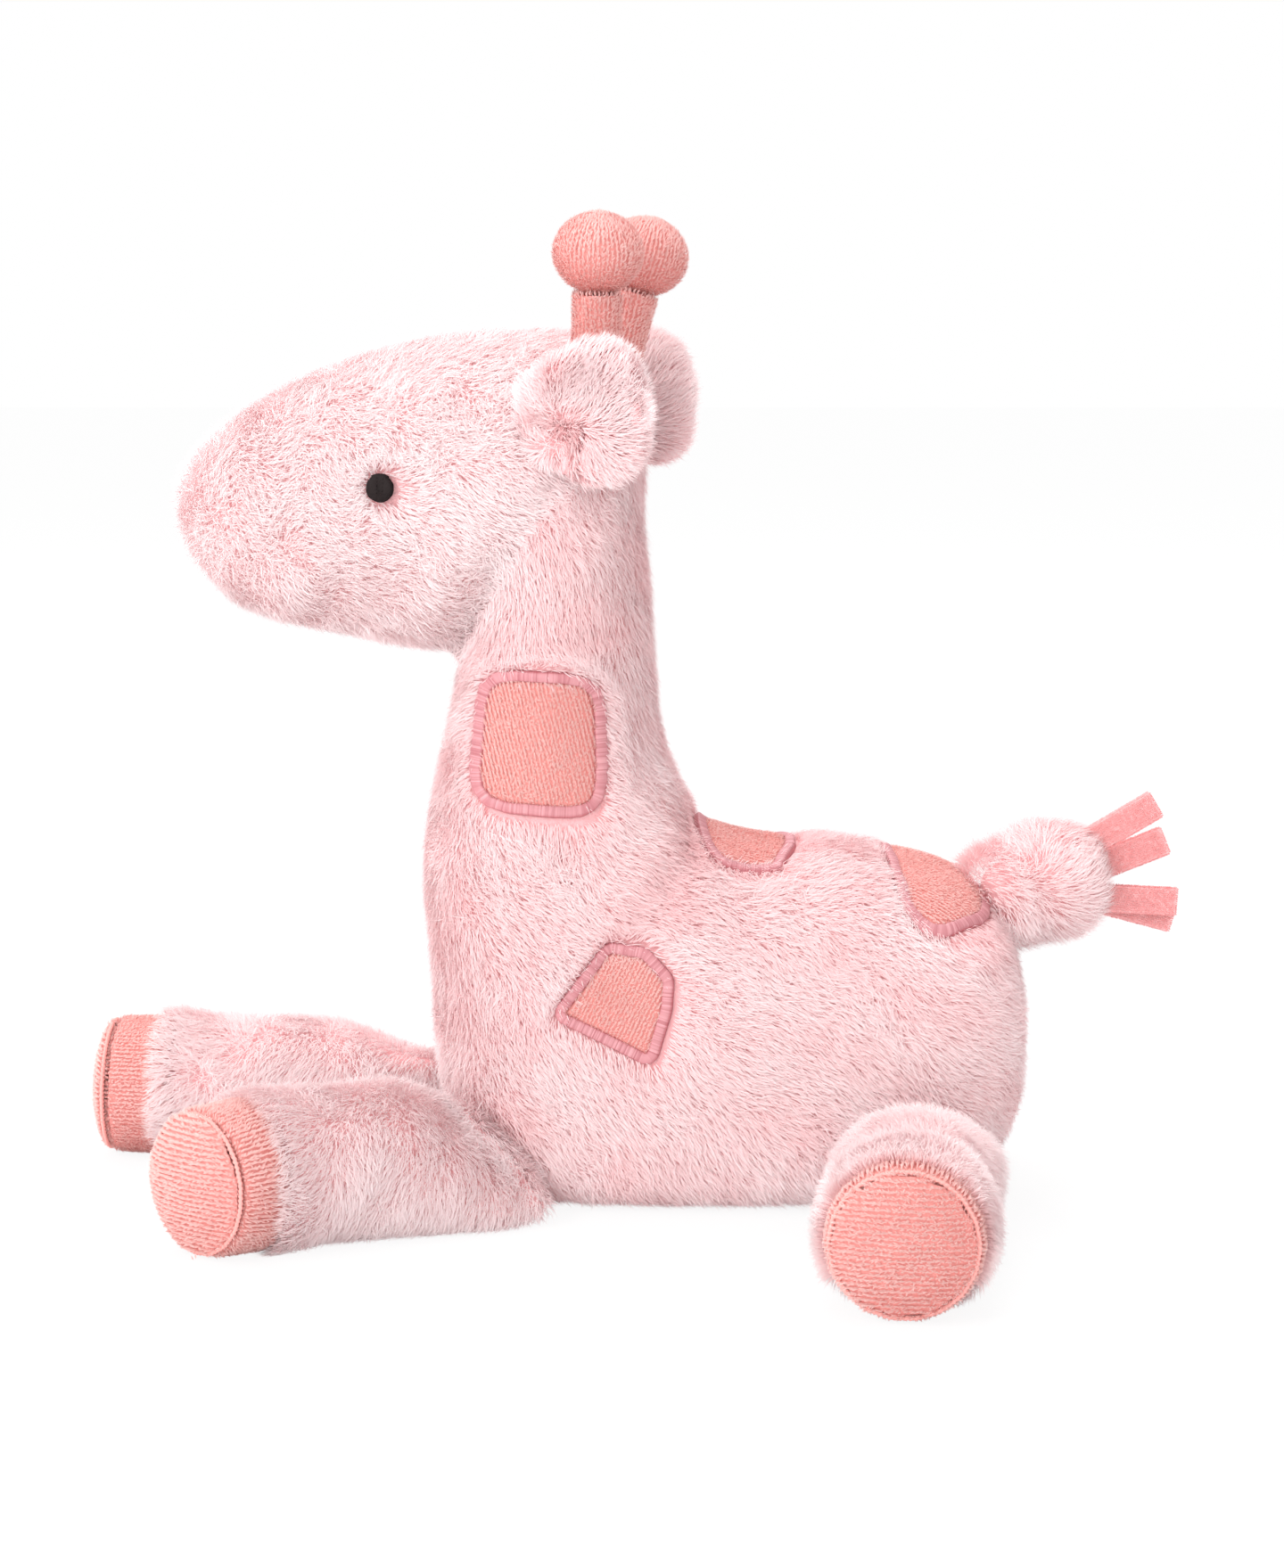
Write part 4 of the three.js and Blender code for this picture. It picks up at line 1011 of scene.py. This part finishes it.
class GIRAFFE_OT_body(bpy.types.Operator):
    """Covers the body, neck and head: cloth sewn together over the stuffing, its folds and its pile"""

    bl_idname = "giraffe.body"
    bl_label = "Body, neck and head"

    def execute(self, context):
        trims = [s for spot in SPOTS for s in (spot, spot + "_stitching")]
        eyes = [side + "_eye" for side in SIDES]
        nodes = ["body_skin", "body_stuffing", *trims, "head_skin", "head_stuffing", *eyes]
        whole = form_of("sewn_form", nodes, *BODY_FORM, settings("plush").depth)
        press_folds(whole, BODY_FOLDS)
        body_tree, head_tree = solid_tree("body_skin"), solid_tree("head_skin")
        spots, eye_tree = solid_tree(*trims), solid_tree(*eyes)
        for name, own, other, trim, flow, pile, pale in (
            ("body", body_tree, head_tree, spots, neck_and_back, "plush", 0.0),
            ("head", head_tree, body_tree, eye_tree, muzzle_to_crown, "combed", HEAD_PAINTED_LIGHT),
        ):

            def nearer(points):
                return distances(points, own, SKIN_SEARCH) <= distances(points, other, SKIN_SEARCH)

            def covered(points, normals):
                return nearer(points) & ~beneath(points, normals, trim)

            cloth = part_of(whole, name + "_cloth", nearer)
            sewn(cloth, "plush", "torso", FILLS[name], name + "_skin", name + "_stuffing")
            looks = {"folds": BODY_FOLDS, "shy": trim, "pale": pale}
            cover(name + "_pile", whole, flow, "torso", STRANDS[pile], SEEDS[name], covered, **looks)
        bpy.data.objects.remove(whole)
        return {"FINISHED"}


class GIRAFFE_OT_legs(bpy.types.Operator):
    """Covers the four legs down to the hooves"""

    bl_idname = "giraffe.legs"
    bl_label = "Legs"

    def execute(self, context):
        for seed, leg in enumerate(LEGS, SEEDS["leg"]):
            skin, stuffing, cuff = leg + "_leg_skin", leg + "_leg_stuffing", leg + "_hoof_cuff"
            cloth = form_of(leg + "_leg_cloth", [skin, stuffing], *LEG_FORM, meets="body_skin")
            whole = form_of(leg + "_leg_form", [skin, stuffing, cuff], *LEG_FORM, meets="body_skin")
            press_folds(cloth, ())
            sewn(cloth, "plush", leg + "_leg", FILLS["leg"], skin, stuffing)
            hoof, collar, skirt = solid_tree(cuff, leg + "_hoof_sole"), solid_tree(cuff), solid_tree(skin)
            axis = leg_axis(leg)
            looks = dict(LEG_PILE[leg.split("_")[0]])
            hem_reach, swell = looks.pop("hem"), looks.pop("swell")

            def covered(points, normals):
                hem = (normals[:, 2] > -HEM_SLOPE) & (distances(points, skirt, HEM_SEARCH) < hem_reach)
                return ~beneath(points, normals, hoof) | hem

            def raised(points, normals):
                return swell * np.clip(CUFF_SWELL_START - distances(points, collar) / CUFF_SWELL_REACH, 0, 1)

            def lie(points, normals):
                near = np.clip(1 - distances(points, collar) / CUFF_COMB_REACH, 0, 1)[:, None] ** 0.5
                along = LEAST_COMBED + (1 - LEAST_COMBED) * near
                return axis * along - UPWARDS * (1 - (1 - LEAST_COMBED) * near)

            looks.update(covered=covered, raised=raised)
            cover(leg + "_leg_pile", whole, lie, leg + "_leg", STRANDS["combed"], seed, **looks)
            bpy.data.objects.remove(whole)
        return {"FINISHED"}


class GIRAFFE_OT_hooves(bpy.types.Operator):
    """Covers each hoof: a cuff with rows along the leg and a domed sole with level rows"""

    bl_idname = "giraffe.hooves"
    bl_label = "Hooves"

    def execute(self, context):
        for seed, leg in enumerate(LEGS, SEEDS["hoof"]):
            cuff, sole = leg + "_hoof_cuff", leg + "_hoof_sole"
            filling = solid_tree(leg + "_leg_stuffing")
            covered = lambda points, normals: distances(points, filling) > FILLING_GAP
            for node, rows, lean in (
                (cuff, turned_rows(middle(cuff), leg_axis(leg), HOOF_RADIUS), -1.0),
                (sole, straight_rows(UPWARDS), 1.0),
            ):
                cloth = form_of(node + "_cloth", [node], *HOOF_FORM, settings("velour").depth)
                sewn(cloth, "velour", leg + "_leg", FILLS["hoof"], node)
                velour(node + "_loops", cloth, rows, leg + "_leg", seed, covered=covered, lean=lean)
        return {"FINISHED"}


def rim_of(sole, axis):
    """The sole's outermost points, evenly round its axis."""
    points = positions(NODES[sole])
    centre = points.mean(axis=0)
    arms = points - centre
    flat = arms - (arms @ axis)[:, None] * axis
    side = unit(np.cross(axis, RIM_START))
    other = np.cross(axis, side)
    turn = np.arctan2(flat @ other, flat @ side)
    reach = np.linalg.norm(flat, axis=1)
    outer = reach > RIM_SHARE * reach.max()
    order = np.argsort(turn[outer])
    turn, kept = turn[outer][order], points[outer][order]
    where = np.arange(SEAM_PLACES) / SEAM_PLACES * 2 * math.pi - math.pi
    rim = np.stack([np.interp(where, turn, kept[:, k], period=2 * math.pi) for k in range(3)], axis=1)
    rim = smoothed(rim, RIM_ROUNDS)
    return rim + RIM_GAP * unit(rim - centre)


class GIRAFFE_OT_seams(bpy.types.Operator):
    """Sews a round seam between each sole and its cuff"""

    bl_idname = "giraffe.seams"
    bl_label = "Hoof seams"

    def execute(self, context):
        for leg in LEGS:
            axis = leg_axis(leg)
            rim = rim_of(leg + "_hoof_sole", axis)
            out = unit(rim - rim.mean(axis=0))
            rim = rim - SEAM_SINK * out + SEAM_DROP * axis
            twist = np.arange(len(rim)) % SEAM_TWIST / SEAM_TWIST * 2 * math.pi
            rings = []
            for step in range(SEAM_SIDES + 1):
                turn = step / SEAM_SIDES * 2 * math.pi
                radius = SEAM_RADIUS * (1 + SEAM_TWIST_SHARE * np.cos(turn - twist))[:, None]
                rings.append(rim + radius * (math.cos(turn) * out + math.sin(turn) * axis))
            tints = np.repeat(np.random.default_rng(SEAM_SEED).random(SEAM_PLACES // SEAM_TWIST), SEAM_TWIST)
            bead = grid_piece(leg + "_hoof_seam", rings, False, tints)
            paint(bead, THREADS["coral"])
            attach(bead, leg + "_leg")
        return {"FINISHED"}


class GIRAFFE_OT_ears(bpy.types.Operator):
    """Covers the ears in longer, looser pile"""

    bl_idname = "giraffe.ears"
    bl_label = "Ears"

    def execute(self, context):
        for seed, (side, sign) in enumerate(SIDES.items(), SEEDS["ear"]):
            ear = side + "_ear"
            cloth = form_of(ear + "_cloth", [ear], *EAR_FORM, meets="head_skin")
            sewn(cloth, "plush", ear, FILLS["ear"], ear)
            low, high = corners_of(ear)
            out = RIGHTWARDS * sign
            flat = low[[0, 2]] + np.array(EAR_FOLD_SHARES) * (high - low)[[0, 2]]
            line, _ = onto(piece_tree(cloth), flat, TAILWARDS, UPWARDS, out)
            folds = ((line, EAR_FOLD_DEPTH, EAR_FOLD_WIDTH),)
            press_folds(cloth, folds)
            spread = lambda points, normals: unit(points - line[2]) + EAR_LIE
            parted = lambda points, normals: fold_depth(points, line, EAR_PARTING) < 0.5
            heart = (low + high) / 2

            def fluffed(points, normals):
                gap = np.linalg.norm((points - heart)[:, [0, 2]], axis=1)
                inner = np.clip(EAR_SWELL_START - gap / EAR_SWELL_REACH, 0, 1)
                return EAR_SWELL * inner * np.clip(normals @ out, 0, 1)

            looks = {"covered": parted, "folds": folds, "raised": fluffed, **EAR_PILE}
            cover(ear + "_pile", cloth, spread, ear, STRANDS["plush"], seed, **looks)
        return {"FINISHED"}


class GIRAFFE_OT_horns(bpy.types.Operator):
    """Covers the horns' stalks and knobs in velour with rows that run upwards"""

    bl_idname = "giraffe.horns"
    bl_label = "Horns"

    def execute(self, context):
        for seed, side in enumerate(SIDES, SEEDS["horn"]):
            knob, stalk = side + "_horn_knob", side + "_horn_stalk"
            axis = middle(knob) - middle(stalk)
            for node, radius, steps in ((knob, KNOB_RADIUS, KNOB_STEPS), (stalk, STALK_RADIUS, STALK_STEPS)):
                cloth = form_of(node + "_cloth", [node], HORN_VOXEL, steps, settings("velour").depth)
                sewn(cloth, "velour", side + "_horn", FILLS["horn"], node)
                rows = turned_rows(middle(node), axis, radius)
                velour(node + "_loops", cloth, rows, side + "_horn", seed)
        return {"FINISHED"}


class GIRAFFE_OT_tail(bpy.types.Operator):
    """Covers the tail and gives its cut strips their short nap"""

    bl_idname = "giraffe.tail"
    bl_label = "Tail"

    def execute(self, context):
        cloth = form_of("tail_cloth", ["tail_skin", "tail_stuffing"], *TAIL_FORM, meets="body_skin")
        sewn(cloth, "plush", "tail", FILLS["tail"], "tail_skin", "tail_stuffing")
        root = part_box("tail_skin")[0][0]

        def fuller(points, normals):
            return TAIL_SWELL * np.clip(1 - (points[:, 0] - root) / TAIL_SWELL_REACH, 0, 1)

        back = lambda points, normals: np.broadcast_to(TAIL_LIE, points.shape)
        cover("tail_pile", cloth, back, "tail", STRANDS["plush"], SEEDS["tail"], raised=fuller, **TAIL_PILE)
        for number in range(1, TAIL_STRIPS + 1):
            strip = f"tail_strip_{number}"
            NODES[strip].data.materials.clear()
            NODES[strip].data.materials.append(CLOTHS["strip"])
            rows = straight_rows(JOINTS[strip]["axis"])
            seed = SEEDS["strip"] + number
            velour(strip + "_nap", NODES[strip], rows, strip, seed, "strip", fine=STRIP_FINENESS)
        return {"FINISHED"}


class GIRAFFE_OT_spots(bpy.types.Operator):
    """Lays each spot on the body cloth inside its ring of satin stitching"""

    bl_idname = "giraffe.spots"
    bl_label = "Spots"

    def execute(self, context):
        thread = settings("thread")
        depth = settings("plush").depth
        cloth = piece_tree(bpy.data.objects["body_cloth"])
        for seed, (spot, (_, rows, lean)) in enumerate(SPOTS.items()):
            border, across, up, out = spot_border(spot, thread.pitch / 2)
            centre = border.mean(axis=0)
            rings = []
            coarse = border[::4]
            for share, height in zip(SPOT_SHARES, SPOT_HEIGHT_SHARES):
                places, normals = onto(cloth, centre + (coarse - centre) * share, across, up, out)
                rings.append(places + normals * (depth - SPOT_SINK) * height)
            plate = grid_piece(spot + "_cloth", rings, True, np.full(len(coarse), 0.5))
            paint(plate, CLOTHS["velour"])
            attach(plate, "torso")
            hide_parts(spot)
            looks = {"fine": SPOT_FINENESS, "lean": lean}
            velour(spot + "_loops", plate, straight_rows(rows), "torso", SPOT_SEED + seed, **looks)

            step = np.roll(border, -1, axis=0) - np.roll(border, 1, axis=0)
            outward = unit(np.stack((step[:, 1], -step[:, 0]), axis=1))
            ridge = thread.rise * (np.arange(len(border)) % 2)
            rng = np.random.default_rng(seed)
            # Painted glints: each pair of threads is tinted at random between rose and pale
            tints = rng.normal(SATIN_TINT, SATIN_GLINT_JITTER, len(border) // 2)
            tints = np.repeat(np.clip(tints, SATIN_TINT_EDGE, 1 - SATIN_TINT_EDGE), 2)
            rings = []
            for share, height in zip(SATIN_SHARES, SATIN_HEIGHT_SHARES):
                places, normals = onto(cloth, border + outward * thread.band * share, across, up, out)
                rings.append(places + normals * (depth * height + ridge)[:, None])
            band = grid_piece(spot + "_satin", rings, False, tints)
            paint(band, THREADS["rose"])
            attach(band, "torso")
            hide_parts(spot + "_stitching")
        return {"FINISHED"}


class GIRAFFE_OT_eyes(bpy.types.Operator):
    """Embroiders the eyes"""

    bl_idname = "giraffe.eyes"
    bl_label = "Eyes"

    def execute(self, context):
        thread = settings("thread")
        cloth = piece_tree(bpy.data.objects["head_cloth"])
        turns = np.arange(EYE_TURNS) / EYE_TURNS * 2 * math.pi
        for side, sign in SIDES.items():
            eye = side + "_eye"
            low, high = corners_of(eye)
            centre, radius = (low + high) / 2, (high - low)[2] / 2
            out = RIGHTWARDS * sign
            rings = []
            for share in EYE_SHARES:
                flat = np.stack((np.cos(turns), np.sin(turns)), axis=1) * (radius * share)
                places, normals = onto(cloth, flat + centre[[0, 2]], TAILWARDS, UPWARDS, out)
                slant = (flat[:, 0] + EYE_THREAD_SLANT * flat[:, 1]) * math.pi / thread.pitch
                ridge = thread.rise * np.abs(np.sin(slant))
                crown = EYE_HEIGHT + EYE_CROWN * math.sqrt(max(0.0, 1 - min(share, 1.0) ** 2))
                crown -= EYE_RIM_DROP * (share >= 1.0)
                rings.append(places + normals * (crown + ridge)[:, None])
            rings[-1] = rings[-1] - out * EYE_SINK
            pad = grid_piece(eye + "_embroidery", rings, True, np.full(EYE_TURNS, 0.5))
            paint(pad, THREADS["black"])
            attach(pad, "torso")
            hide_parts(eye)
        return {"FINISHED"}


class GIRAFFE_PT_panel(bpy.types.Panel):
    """Lists the giraffe's pieces in the order in which they are made"""

    bl_idname = "GIRAFFE_PT_panel"
    bl_label = "Plush giraffe"
    bl_space_type = "VIEW_3D"
    bl_region_type = "UI"
    bl_category = "Giraffe"

    def draw(self, context):
        for name in GROUPS:
            group = settings(name)
            box = self.layout.box()
            for key in group.bl_rna.properties.keys():
                if key not in ("rna_type", "name"):
                    box.prop(group, key)
        for operator in OPERATORS:
            self.layout.operator(operator.bl_idname)


GROUPS = {"plush": PlushSizes, "velour": VelourSizes, "thread": ThreadSizes, "stage": StageSizes}
OPERATORS = (
    GIRAFFE_OT_stage,
    GIRAFFE_OT_body,
    GIRAFFE_OT_legs,
    GIRAFFE_OT_hooves,
    GIRAFFE_OT_seams,
    GIRAFFE_OT_ears,
    GIRAFFE_OT_horns,
    GIRAFFE_OT_tail,
    GIRAFFE_OT_spots,
    GIRAFFE_OT_eyes,
)
CLOTHS, STRANDS, THREADS = {}, {}, {}


def make_finishes():
    plush, sizes, thread = settings("plush"), settings("velour"), settings("thread")
    root, tip, coral = tuple(plush.root), tuple(plush.tip), tuple(sizes.root)
    strip, black = tuple(thread.strip), tuple(thread.black)
    combed = between(root, tip, DEEP_SHARE)
    CLOTHS["plush"] = cloth_finish("plush_backing", root, PLUSH_WEAVE)
    CLOTHS["velour"] = cloth_finish("velour_backing", coral, KNIT_WEAVE)
    CLOTHS["strip"] = cloth_finish("strip_backing", strip, KNIT_WEAVE)
    STRANDS["plush"] = strand_finish("plush_pile", root, tip, PILE_ROOT, PILE_SHEEN)
    STRANDS["combed"] = strand_finish("combed_plush_pile", combed, tip, PILE_ROOT, PILE_SHEEN)
    STRANDS["velour"] = strand_finish("velour_loops", coral, tuple(sizes.tip), LOOP_ROOT, LOOP_SHEEN)
    STRANDS["strip"] = strand_finish("strip_nap", strip, scaled(strip, STRIP_TIP), LOOP_ROOT, STRIP_SHEEN)
    THREADS["rose"] = thread_finish("rose_satin", tuple(thread.rose), tuple(thread.pale), *ROSE_LOOK)
    THREADS["coral"] = thread_finish("coral_thread", coral, tuple(thread.coral), *CORAL_LOOK)
    THREADS["black"] = thread_finish("black_satin", black, scaled(black, BLACK_TIP), *BLACK_LOOK)


def register():
    for cls in (*GROUPS.values(), *OPERATORS, GIRAFFE_PT_panel):
        bpy.utils.register_class(cls)
    for name, group in GROUPS.items():
        setattr(bpy.types.Scene, "giraffe_" + name, PointerProperty(type=group))


def unregister():
    for name in GROUPS:
        delattr(bpy.types.Scene, "giraffe_" + name)
    for cls in (GIRAFFE_PT_panel, *reversed(OPERATORS), *GROUPS.values()):
        bpy.utils.unregister_class(cls)


def main():
    register()
    make_finishes()
    for operator in OPERATORS:
        group, name = operator.bl_idname.split(".")
        getattr(getattr(bpy.ops, group), name)()


if __name__ == "__main__":
    main()
